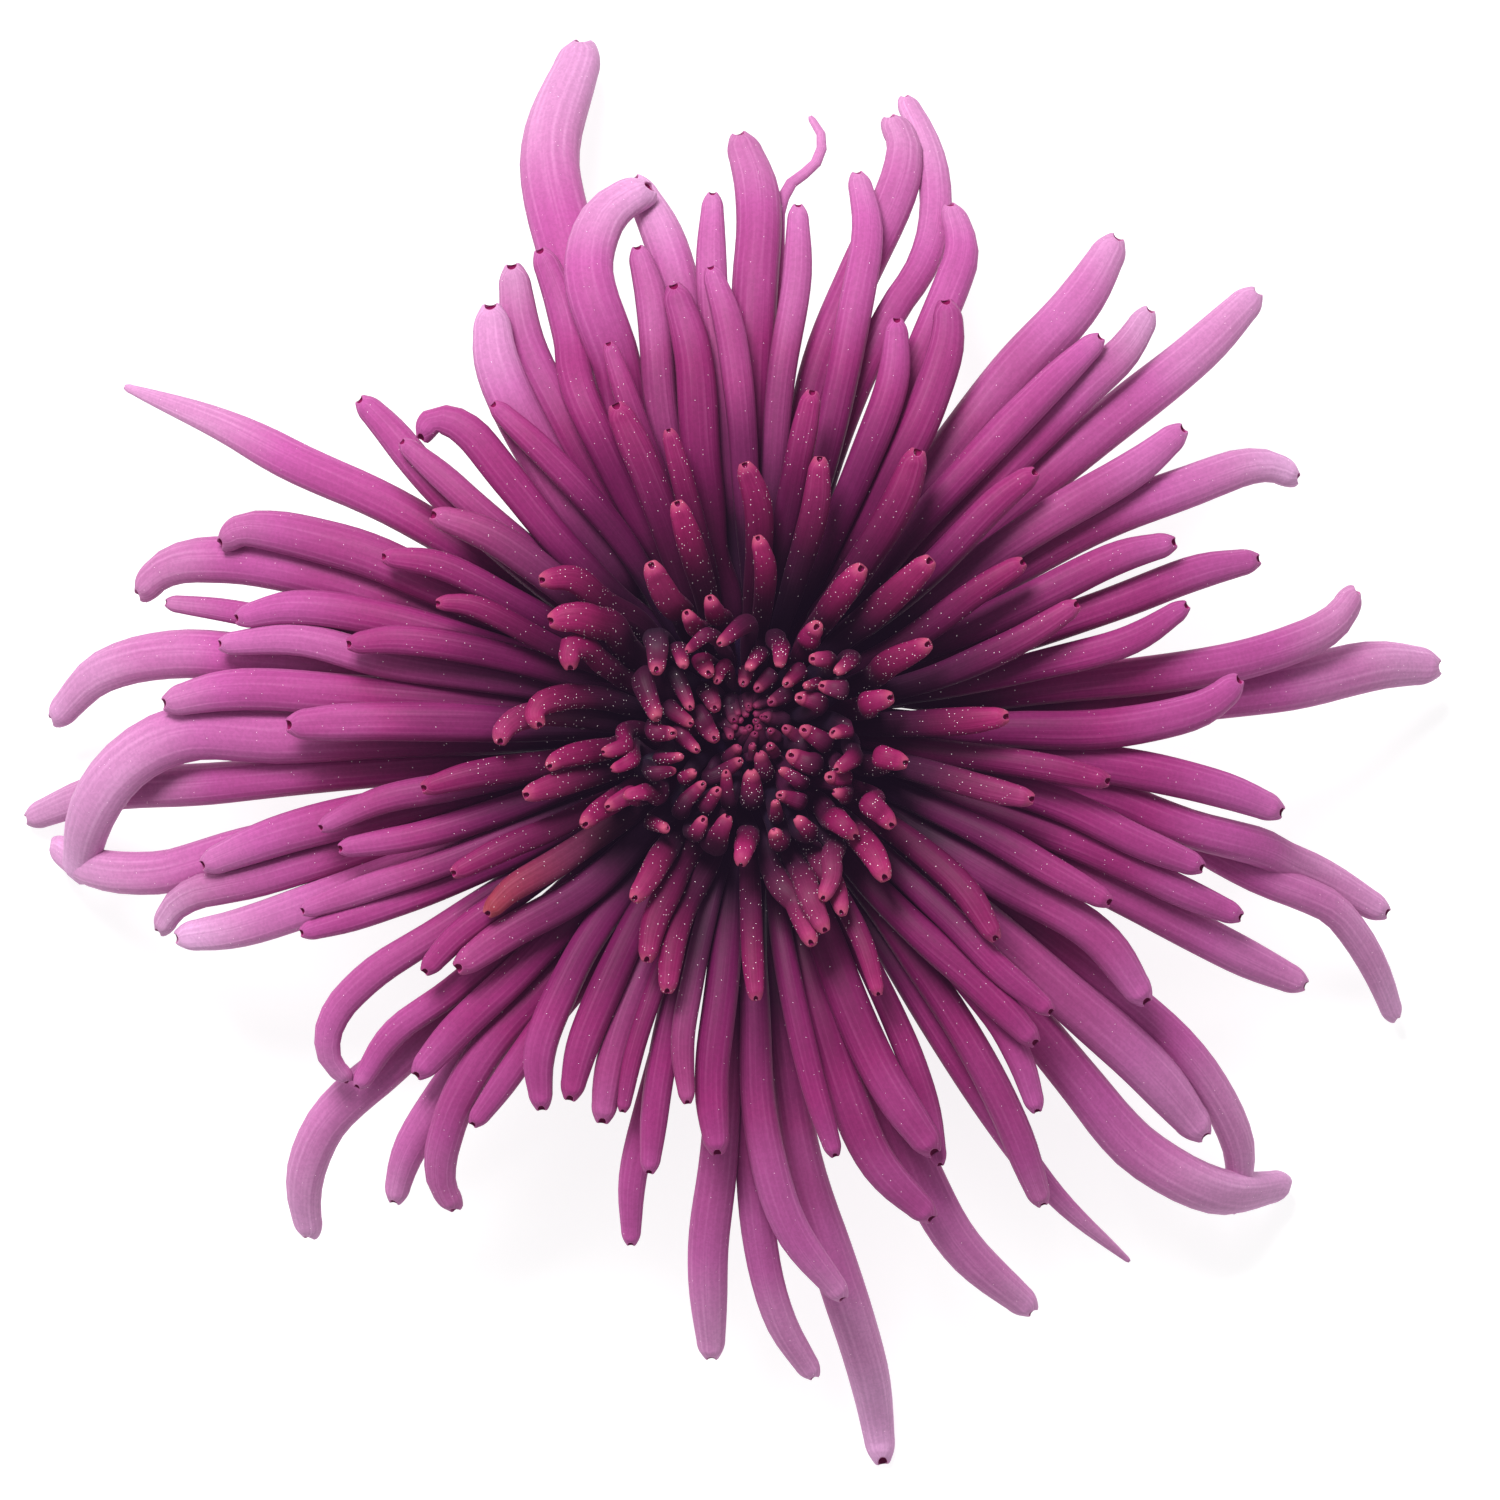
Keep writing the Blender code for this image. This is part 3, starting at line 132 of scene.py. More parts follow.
RAYS: tuple[Ray, ...] = (
    # upper left, from the top round to the left side
    Ray((-12.3, 59.4), 5.0, ((-15.2, 50.4), (-14.2, 43.8), (-10.2, 31.3))),
    Ray((-8.2, 48.1), 3.4, ((-5.6, 42.9), (-3.5, 34.6))),
    Ray((-6.6, 46.9), 4.2, ((-9.8, 45.8), (-11.8, 42.1), (-11.8, 36.3), (-9.8, 27.9))),
    Ray((-1.6, 46.8), 2.5, ((-1.7, 39.6),)),
    Ray((0.5, 51.7), 3.8, ((2.1, 47.1), (2.1, 37.9))),
    Ray((-1.8, 40.6), 2.5, ((-0.2, 35.4), (0.8, 26.3))),
    Ray((-4.9, 39.1), 3.2, ((-3.3, 33.8), (-2.4, 23.8))),
    Ray((-7.9, 42.3), 2.7, ((-6.7, 37.9), (-5.6, 27.1))),
    Ray((-16.0, 42.1), 2.9, ((-14.2, 37.9), (-11.8, 29.6), (-7.7, 19.6))),
    Ray((-18.3, 40.8), 3.2, ((-17.3, 34.6), (-13.5, 27.1)), Form.BLUNT),
    Ray((-20.0, 37.4), 3.8, ((-19.5, 32.5), (-15.6, 24.6)), Form.BLUNT),
    Ray((-19.9, 29.2), 2.3, ((-14.8, 24.3), (-10.5, 19.3))),
    Ray((-10.3, 34.3), 2.1, ((-8.7, 29.6), (-6.7, 23.8))),
    Ray((-9.7, 29.2), 2.8, ((-7.2, 23.8),)),
    Ray((-5.3, 27.1), 1.9, ((-4.1, 22.8),)),
    Ray((1.0, 24.3), 2.3, ((2.2, 20.4),)),
    Ray((-4.6, 21.1), 2.2, ((-3.3, 17.1),)),
    Ray((-6.8, 16.0), 2.3, ((-5.8, 13.8),)),
    Ray((-1.9, 13.2), 1.7),
    Ray((-3.8, 11.9), 1.6),
    Ray((-16.0, 14.5), 2.3, ((-13.1, 14.6), (-10.2, 11.9))),
    Ray((-15.2, 11.1), 2.7, ((-12.7, 11.3),)),
    Ray((-13.4, 7.1), 2.2, ((-13.3, 9.2), (-11.0, 8.8))),
    Ray((-15.9, 2.3), 2.2, ((-16.4, 3.7), (-13.9, 4.8))),
    Ray((-19.3, 0.9), 2.2, ((-18.8, 2.3), (-16.4, 3.4))),
    Ray((-15.3, -1.1), 1.9, ((-14.3, -0.3),)),
    Ray((-17.3, -3.4), 2.1, ((-15.6, -2.8),)),
    Ray((-24.6, 12.6), 1.9, ((-21.8, 12.5), (-14.3, 8.8))),
    Ray((-29.1, 16.5), 2.3, ((-24.3, 15.8), (-17.7, 12.5))),
    Ray((-25.0, 20.0), 2.7, ((-20.2, 18.3), (-13.5, 13.8))),
    Ray((-25.8, 26.2), 2.9, ((-24.7, 28.0), (-22.3, 27.2), (-18.9, 23.3), (-13.5, 16.7))),
    Ray((-27.5, 26.1), 2.3, ((-23.8, 22.9), (-19.3, 18.8))),
    Ray((-31.0, 29.6), 2.8, ((-28.9, 27.5), (-23.8, 21.7))),
    Ray((-50.8, 30.8), 3.7, ((-42.4, 27.5), (-36.0, 24.2), (-27.7, 20.4)), Form.SPIKE),
    Ray((-42.5, 17.4), 3.5, ((-41.0, 18.7), (-31.8, 17.1), (-23.8, 13.6))),
    Ray((-49.3, 13.2), 3.8, ((-47.3, 15.6), (-41.8, 16.3), (-32.7, 14.6))),
    Ray((-47.2, 12.7), 2.0, ((-41.3, 11.9),)),
    Ray((-41.3, 11.3), 2.9, ((-36.8, 12.3), (-27.7, 11.1))),
    Ray((-42.7, 9.2), 2.7, ((-36.0, 9.6), (-27.7, 7.5))),
    Ray((-32.0, 9.2), 2.5, ((-27.7, 9.6), (-19.3, 8.3))),
    Ray((-56.6, 2.8), 3.8, ((-53.0, 6.7), (-47.7, 8.3), (-41.0, 8.2))),
    Ray((-47.3, 4.2), 3.5, ((-41.8, 5.4), (-31.0, 5.0))),
    Ray((-37.0, 2.5), 3.2, ((-29.3, 2.8),)),
    Ray((-54.6, -10.3), 4.6, ((-53.7, -5.4), (-50.6, -0.8), (-45.2, 2.1), (-36.8, 1.7))),
    # upper right, from the top round to the right side
    Ray((6.5, 53.3), 1.2, ((7.5, 52.1), (6.9, 49.2), (4.4, 47.1), (3.6, 41.3)), Form.WISP),
    Ray((5.5, 45.8), 2.4, ((5.4, 39.6), (4.0, 31.3))),
    Ray((14.3, 54.9), 2.7, ((16.1, 51.3), (17.0, 46.3), (16.1, 41.3), (13.2, 36.7), (9.8, 29.6))),
    Ray((13.0, 53.1), 3.5, ((14.4, 50.8), (13.6, 46.7), (10.7, 40.4), (7.3, 31.3))),
    Ray((10.4, 48.5), 2.8, ((11.3, 43.8), (9.8, 35.4), (8.2, 27.1))),
    Ray((18.0, 45.8), 3.0, ((19.2, 42.5), (17.8, 37.9))),
    Ray((17.7, 37.8), 3.2, ((18.0, 35.0), (16.1, 28.8), (13.2, 22.9))),
    Ray((13.7, 36.3), 2.7, ((13.4, 31.3), (10.7, 23.8))),
    Ray((32.1, 43.1), 4.0, ((29.0, 37.9), (22.3, 30.4))),
    Ray((43.8, 38.6), 3.8, ((39.0, 33.8), (30.7, 27.1))),
    Ray((34.8, 37.1), 3.2, ((32.8, 33.8), (28.2, 29.6))),
    Ray((30.7, 34.8), 2.8, ((26.5, 30.8), (19.0, 22.9))),
    Ray((37.6, 27.2), 3.2, ((34.0, 24.2), (26.5, 19.6))),
    Ray((47.1, 22.9), 3.4, ((44.4, 24.2), (37.3, 22.1), (29.0, 18.8))),
    Ray((25.3, 23.6), 2.5, ((22.3, 21.3), (16.5, 15.4))),
    Ray((15.5, 25.4), 2.8, ((14.0, 21.3), (10.7, 15.8))),
    Ray((6.7, 30.3), 2.3, ((5.7, 25.4),)),
    Ray((7.3, 24.8), 2.3, ((6.9, 20.4),)),
    Ray((2.1, 18.2), 1.8, ((2.8, 15.4),)),
    Ray((10.9, 15.7), 2.3, ((9.4, 13.8),)),
    Ray((16.6, 16.3), 2.5, ((14.0, 13.8),)),
    Ray((24.3, 16.1), 2.3, ((20.7, 13.8), (14.8, 9.6))),
    Ray((28.8, 12.6), 2.3, ((24.0, 9.6), (16.5, 6.3))),
    Ray((36.9, 17.7), 2.8, ((32.3, 16.5), (24.0, 12.5))),
    Ray((43.9, 16.3), 2.9, ((39.0, 15.3), (31.5, 12.5))),
    Ray((37.9, 12.5), 2.5, ((33.2, 9.6), (24.8, 7.3))),
    Ray((51.9, 13.8), 3.3, ((50.3, 11.1), (44.0, 8.3), (34.0, 6.3))),
    Ray((59.0, 7.3), 4.3, ((54.0, 7.5), (45.7, 5.8))),
    Ray((42.2, 6.4), 3.2, ((39.8, 4.2), (32.3, 2.3), (22.3, 1.7))),
    Ray((7.2, 10.9), 1.9),
    Ray((16.5, 9.3), 2.2, ((14.4, 8.3),)),
    Ray((13.4, 4.8), 2.1, ((12.3, 4.6),)),
    Ray((23.0, 3.2), 2.3, ((19.0, 2.8),)),
    # lower left, from the left side round to the bottom
    Ray((-58.9, -5.4), 3.3, ((-53.0, -3.2), (-42.4, -2.3))),
    Ray((-56.6, -7.2), 3.5, ((-54.3, -9.0), (-47.8, -9.8), (-41.0, -7.9))),
    Ray((-44.1, -9.2), 3.3, ((-37.7, -6.7), (-27.7, -4.2))),
    Ray((-47.7, -14.8), 2.9, ((-46.0, -12.1), (-39.3, -10.3), (-27.7, -6.7))),
    Ray((-46.3, -15.2), 3.3, ((-41.8, -14.6), (-35.2, -12.5)), Form.BLUNT),
    Ray((-34.3, -6.1), 2.3, ((-29.3, -3.8), (-22.7, -2.5))),
    Ray((-32.7, -7.8), 2.3, ((-26.0, -6.7), (-17.7, -4.2))),
    Ray((-35.8, -13.0), 2.3, ((-29.5, -10.8), (-21.6, -8.3))),
    Ray((-35.9, -14.8), 2.3, ((-31.8, -13.6), (-24.3, -10.8))),
    Ray((-25.8, -2.8), 2.3, ((-21.8, -1.7), (-16.0, -0.8))),
    Ray((-23.3, -9.9), 2.1, ((-19.3, -7.9), (-14.3, -5.8))),
    Ray((-12.4, -5.9), 1.9, ((-11.3, -4.8),)),
    Ray((-20.4, -13.3), 2.3, ((-18.5, -11.3), (-14.3, -8.8))),
    Ray((-25.6, -18.1), 2.3, ((-22.9, -15.1), (-17.7, -11.3))),
    Ray((-22.9, -17.8), 2.9, ((-18.9, -15.0), (-11.0, -10.4))),
    Ray((-31.8, -27.1), 2.5, ((-33.4, -25.6), (-33.5, -22.5), (-30.6, -18.8), (-24.3, -14.6))),
    Ray((-31.2, -27.7), 2.3, ((-28.3, -23.3), (-22.9, -19.3))),
    Ray((-26.3, -26.7), 2.9, ((-22.9, -22.9), (-16.8, -17.1))),
    Ray((-35.1, -40.2), 3.5, ((-35.8, -36.3), (-33.9, -30.8), (-27.7, -25.0))),
    Ray((-28.1, -37.3), 3.0, ((-27.3, -33.8), (-24.3, -28.8))),
    Ray((-22.9, -37.8), 3.0, ((-24.3, -35.4), (-23.5, -30.4), (-20.6, -24.6), (-16.0, -19.2))),
    Ray((-21.6, -30.8), 2.3, ((-18.9, -27.1),)),
    Ray((-15.8, -29.5), 2.7, ((-16.0, -24.6), (-13.1, -17.9))),
    Ray((-13.5, -28.7), 2.7, ((-12.3, -23.8), (-8.9, -16.3))),
    Ray((-10.8, -30.6), 2.5, ((-10.0, -25.4), (-7.7, -18.3)), Form.BLUNT),
    Ray((-9.1, -29.7), 1.6, ((-8.1, -24.6),)),
    Ray((-6.9, -34.8), 2.3, ((-6.2, -27.9), (-4.8, -20.4))),
    Ray((-8.4, -40.8), 2.3, ((-8.3, -35.4), (-6.8, -28.8))),
    Ray((-3.7, -29.0), 1.9, ((-4.1, -23.8), (-3.1, -17.9))),
    Ray((-1.2, -33.2), 2.8, ((-1.7, -27.1), (-0.8, -18.8))),
    Ray((-1.7, -50.3), 3.3, ((-2.0, -41.3), (-1.0, -32.9))),
    Ray((-8.2, -12.1), 2.1, ((-7.0, -10.4), (-5.6, -7.9))),
    Ray((-7.1, -17.2), 2.2, ((-6.4, -13.8), (-4.3, -9.6))),
    Ray((-5.4, -19.8), 2.1, ((-4.8, -15.4),)),
    Ray((0.7, -9.2), 1.8),
    Ray((-8.9, -3.4), 1.5),
    Ray((-10.8, 0.2), 1.6),
    Ray((-10.0, -1.2), 1.3),
    Ray((-10.5, -4.4), 1.6),
    # lower right, from the right side round to the bottom
    Ray((14.6, -0.7), 2.0, ((13.4, -0.4),)),
    Ray((25.1, -3.7), 2.2, ((21.5, -2.9), (15.7, -1.3))),
    Ray((31.4, -2.2), 2.3, ((26.5, -1.1), (19.0, 0.0))),
    Ray((45.8, -4.8), 3.2, ((41.5, -3.1), (33.2, -1.1), (22.3, 0.3))),
    Ray((39.2, -9.4), 2.7, ((34.0, -7.3), (26.5, -3.8))),
    Ray((42.4, -13.5), 2.7, ((37.3, -11.3), (29.0, -7.5))),
    Ray((54.7, -13.3), 3.2, ((49.0, -10.4), (39.0, -6.7), (29.0, -3.3))),
    Ray((47.8, -19.2), 3.2, ((43.2, -17.1), (34.8, -12.8), (26.5, -8.8))),
    Ray((55.4, -22.1), 2.8, ((53.6, -17.5), (49.8, -12.1), (43.2, -7.9))),
    Ray((31.5, -12.3), 2.5, ((26.5, -9.6), (20.7, -6.3))),
    Ray((22.0, -15.4), 2.3, ((19.4, -11.3), (15.7, -7.9))),
    Ray((26.6, -21.4), 2.3, ((22.3, -17.9), (17.3, -12.9))),
    Ray((34.5, -20.6), 3.2, ((30.3, -15.0), (22.3, -10.4))),
    Ray((25.3, -24.0), 2.7, ((20.7, -19.2), (14.8, -13.8))),
    Ray((25.4, -29.7), 2.3, ((24.0, -25.4), (21.1, -20.4))),
    Ray((39.4, -31.8), 4.0, ((34.8, -26.3), (27.3, -19.6), (20.7, -13.8))),
    Ray((46.3, -35.7), 4.0, ((41.1, -36.4), (34.0, -32.9), (28.2, -26.3), (22.3, -19.2))),
    Ray((42.1, -38.3), 3.0, ((42.3, -32.9), (39.0, -26.3), (33.2, -20.4))),
    Ray((25.9, -37.5), 2.7, ((22.8, -29.6), (18.2, -21.3))),
    Ray((33.2, -42.3), 2.5, ((27.3, -37.1), (21.5, -29.6)), Form.SPIKE),
    Ray((16.7, -38.6), 3.2, ((12.3, -34.2), (9.4, -27.9))),
    Ray((16.9, -33.1), 3.3, ((12.8, -27.1), (9.0, -18.8))),
    Ray((17.3, -34.2), 2.1, ((16.1, -28.8), (13.2, -21.3))),
    Ray((25.1, -46.4), 3.5, ((19.0, -40.8), (14.8, -32.9))),
    Ray((9.3, -45.3), 2.9, ((4.8, -39.2), (2.3, -30.4), (1.7, -20.4))),
    Ray((6.9, -51.9), 2.8, ((4.0, -47.1), (2.1, -38.8))),
    Ray((12.6, -59.3), 3.5, ((11.5, -52.1), (8.6, -42.5), (5.7, -32.9))),
    Ray((8.6, -33.4), 2.1, ((6.7, -27.1), (4.8, -18.8))),
    Ray((2.0, -20.4), 1.9, ((1.7, -16.3),)),
    Ray((12.2, -20.0), 1.7, ((10.8, -15.4),)),
    Ray((7.8, -14.7), 2.0, ((6.7, -12.5),)),
    Ray((6.7, -15.8), 2.0, ((5.7, -12.9),)),
    Ray((9.2, -13.3), 1.8, ((8.7, -11.3),)),
    Ray((7.5, -12.1), 1.8, ((8.3, -9.6),)),
    Ray((12.8, -10.4), 2.2, ((11.5, -7.9),)),
    Ray((10.3, -6.8), 2.0),
    Ray((13.4, -6.0), 2.0, ((12.3, -4.8),)),
)

CENTRE: tuple[Young, ...] = (
    # from the top of the heart, row by row to its foot
    Young((-1.2, 9.2), (1.4, 11.0), 1.4),
    Young((-3.8, 8.6), (-1.6, 10.7), 1.2),
    Young((-4.0, 7.3), (-4.4, 9.5), 1.5),
    Young((-6.3, 6.8), (-5.8, 9.7), 1.9),
    Young((-1.8, 6.6), (-2.8, 8.3), 1.6),
    Young((-1.3, 6.0), (-0.7, 7.6), 1.1),
    Young((-6.2, 3.0), (-7.4, 6.5), 2.0),
    Young((-3.4, 3.8), (-4.8, 7.4), 1.3),
    Young((-1.3, 3.7), (-2.2, 5.9), 1.5),
    Young((0.9, 5.8), (1.3, 7.3), 1.2),
    Young((1.3, 7.1), (2.7, 8.8), 1.3),
    Young((2.0, 5.4), (3.5, 6.8), 1.2),
    Young((3.9, 7.3), (4.5, 9.6), 1.5),
    Young((4.4, 5.8), (6.0, 7.4), 1.3),
    Young((3.1, 4.3), (4.8, 5.2), 1.2),
    Young((6.5, 8.0), (8.0, 7.9), 1.6),
    Young((8.6, 6.8), (10.0, 8.0), 1.5),
    Young((6.0, 5.7), (7.3, 6.0), 1.0),
    Young((7.3, 5.8), (9.8, 5.0), 1.6),
    Young((5.4, 4.8), (7.5, 4.3), 1.5),
    Young((2.6, 3.2), (4.5, 2.9), 1.2),
    Young((4.3, 2.3), (6.6, 0.7), 1.2),
    Young((5.8, 2.2), (7.8, 0.9), 1.5),
    Young((8.3, 1.7), (10.1, 2.3), 1.5),
    Young((8.6, -1.3), (11.0, 0.3), 1.6),
    Young((7.9, -1.8), (9.5, -2.1), 1.5),
    Young((8.4, -3.1), (9.5, -3.6), 1.4),
    Young((4.7, 0.1), (7.3, -1.3), 1.7),
    Young((4.0, -1.2), (6.0, -2.3), 1.2),
    Young((3.8, -3.3), (6.0, -3.8), 1.3),
    Young((3.6, -3.8), (3.7, -5.3), 1.1),
    Young((5.3, -5.2), (7.1, -6.6), 1.5),
    Young((3.5, -6.3), (3.9, -7.4), 1.6),
    Young((2.3, 0.2), (2.8, -1.8), 1.4),
    Young((1.6, -1.3), (1.7, -4.2), 1.7),
    Young((1.7, 0.9), (1.7, -0.3), 0.9),
    Young((3.1, 0.9), (3.7, -0.3), 1.0),
    Young((3.1, 2.1), (3.9, 1.3), 0.9),
    Young((1.1, 2.2), (0.9, 1.1), 0.9),
    Young((-0.5, -1.3), (-0.3, -4.3), 1.1),
    Young((-1.1, -2.8), (-2.4, -4.6), 1.3),
    Young((-2.3, -2.3), (-4.8, -4.6), 1.3),
    Young((0.8, -0.4), (-2.0, -2.2), 1.2),
    Young((0.6, 0.7), (-0.4, -0.4), 1.1),
    Young((-4.8, -1.3), (-7.7, -2.3), 1.4),
    Young((-3.1, -1.4), (-4.2, -2.0), 1.2),
    Young((-4.1, -0.1), (-6.8, -0.5), 1.2),
    Young((-4.7, 1.8), (-7.1, 1.8), 1.5),
    Young((-3.3, 2.5), (-5.4, 4.0), 1.3),
    Young((-1.3, 1.2), (-3.0, 3.5), 1.5),
    Young((-2.8, 0.3), (-4.6, 2.1), 1.2),
    Young((0.2, 2.7), (-0.2, 4.8), 1.2),
    Young((1.4, 3.9), (1.3, 5.1), 0.9),
    Young((-0.1, 1.4), (-0.3, 2.6), 0.8),
    Young((-5.4, -6.2), (-7.1, -5.0), 1.5),
    Young((-2.3, -5.2), (-3.0, -6.7), 1.5),
    Young((-0.3, -5.0), (-1.1, -7.4), 1.8),
)


SWIRL = np.array((1.5, 2.9))             # where the youngest florets close over the heart
PALE_ENDS = (
    (34.4, 37.1), (18.6, 42.9), (-19.0, 37.0), (-18.3, 40.8), (-46.3, -15.2), (46.5, 24.2),
    (-6.6, 46.9),
)
RUST_ENDS = ((-20.4, -13.3),)


def is_near(tip: tuple, spots: tuple, within: float = 2.2) -> bool:
    """Whether a floret's tip is one of the marked ones.

    Args:
        tip: The floret's tip.
        spots: The marked places.
        within: The greatest distance.

    Returns:
        True when it is.
    """
    return any(math.dist(tip, spot) < within for spot in spots)


def spline(points: np.ndarray | tuple, samples: int) -> np.ndarray:
    """A smooth curve through the points, as many evenly spread samples of it as asked.

    Args:
        points: The stops of the curve.
        samples: How many points to give back.

    Returns:
        The points on the curve.
    """
    points = np.asarray(points, dtype=float)
    if len(points) == 2:
        share = np.linspace(0.0, 1.0, samples)[:, None]
        return points[0] * (1.0 - share) + points[1] * share
    steps = np.sqrt(np.linalg.norm(np.diff(points, axis=0), axis=1))
    knots = np.concatenate(([0.0], np.cumsum(steps)))
    slopes = np.gradient(points, knots, axis=0)
    at = np.linspace(0.0, knots[-1], samples * 4)
    span = np.clip(np.searchsorted(knots, at, side="right") - 1, 0, len(steps) - 1)
    width = steps[span][:, None]
    t = ((at - knots[span])[:, None]) / width
    curve = (
        points[span] * (2 * t**3 - 3 * t**2 + 1)
        + points[span + 1] * (3 * t**2 - 2 * t**3)
        + slopes[span] * width * (t**3 - 2 * t**2 + t)
        + slopes[span + 1] * width * (t**3 - t**2)
    )
    return by_length(curve, samples)


def by_length(curve: np.ndarray, samples: int) -> np.ndarray:
    """The curve again, sampled at equal lengths.

    Args:
        curve: Points on a curve.
        samples: How many points to give back.

    Returns:
        The new points.
    """
    steps = np.linalg.norm(np.diff(curve, axis=0), axis=1)
    length = np.concatenate(([0.0], np.cumsum(steps)))
    wanted = np.linspace(0.0, length[-1], samples)
    columns = [np.interp(wanted, length, curve[:, axis]) for axis in range(curve.shape[1])]
    return np.stack(columns, axis=1)


def head_height(radius: float) -> float:
    """Height of the domed receptacle at a distance from its axis.

    Args:
        radius: Distance from the head's axis.

    Returns:
        The height there.
    """
    fall = min(radius / (HEAD_RADIUS + 0.2), 1.0)
    return HEAD_BASE + (HEAD_TOP - HEAD_BASE) * math.sqrt(1.0 - fall * fall)


def ray_path(ray: Ray, crowding: float) -> np.ndarray:
    """Middle line of a ray floret; crowding runs from 0 at the inner ring to 1 at the outermost.

    Args:
        ray: The floret.
        crowding: 0 to 1, from the inner ring outwards.

    Returns:
        Points from its root to its tip.
    """
    stops = [np.array(ray.tip)] + [np.array(bend) for bend in ray.bends]
    outward = stops[-1] - HEART
    outward = outward / np.linalg.norm(outward)
    root_radius = math.sqrt(ROOT_INNER**2 + (ROOT_OUTER**2 - ROOT_INNER**2) * crowding)
    root = HEART + outward * root_radius
    plan = spline([root] + stops[::-1], 60)
    reach = float(np.linalg.norm(stops[0] - HEART))
    fall = max(reach - INNER_REACH, 0.0) / (LONGEST_REACH - INNER_REACH)
    root_height = head_height(root_radius) - 0.6
    tip_height = CROWN_HEIGHT - DROOP * fall * fall
    if reach < INNER_REACH:
        tip_height -= 0.25 * (INNER_REACH - reach)
    leave = 7.0 + 3.0 * fall
    arrive = 18.0 * fall * fall - 0.5
    share = np.linspace(0.0, 1.0, len(plan))
    heights = (
        root_height * (1 - share) ** 3
        + 3 * (root_height + leave) * share * (1 - share) ** 2
        + 3 * (tip_height + arrive) * share**2 * (1 - share)
        + tip_height * share**3
    )
    return by_length(np.column_stack((plan, heights)), PATH_SAMPLES)


def young_path(young: Young) -> np.ndarray:
    """Middle line of a centre floret: up and out to its shoulder, then in over the heart.

    Args:
        young: The floret.

    Returns:
        Points from its root to its tip.
    """
    shoulder = np.array(young.shoulder)
    out = float(np.linalg.norm(shoulder - HEART))
    near = float(np.linalg.norm(np.array(young.tip) - HEART))
    root = HEART + (shoulder - HEART) * min(0.42, 4.0 / max(out, 0.1))
    base = YOUNG_BASE_TOP - 1.1 - 0.04 * float(np.linalg.norm(root - HEART)) ** 2
    tip_height = 28.2 + 4.6 * min(near / 7.0, 1.0) ** 1.4
    shoulder_height = tip_height - 1.0 - 1.1 * min(out / 9.0, 1.0) - 0.4 * young.width
    middle = 0.5 * (root + shoulder)
    stops = (
        (*root, base),
        (*middle, 0.5 * (base + shoulder_height) - 0.3),
        (*shoulder, shoulder_height),
        (*young.tip, tip_height),
    )
    return spline(stops, PATH_SAMPLES)


def quill_radius(form: Form, width: float, share: np.ndarray) -> np.ndarray:
    """Radius of a quill along its length, from 0 at the root to 1 at the tip.

    Args:
        form: How its width runs.
        width: Its greatest width.
        share: Places along it.

    Returns:
        The radii there.
    """
    half = 0.5 * width * (YOUNG_FULLNESS if form is Form.YOUNG else 1.0)
    swell = np.interp(share, PROFILE_PLACES, form.value)
    return np.maximum(swell * half, np.where(share < 0.3, ROOT_RADIUS * 0.8, 0.0) * (half > 0.8))


def lowest(distance: np.ndarray) -> np.ndarray:
    """Lowest height a quill's underside may have: clear of the bracts, then of the surface.

    Args:
        distance: Distances from the axis.

    Returns:
        The lowest heights there.
    """
    return np.clip(UNDER_HEIGHT - UNDER_FALL * (distance - UNDER_RADIUS), 0.0, UNDER_HEIGHT)


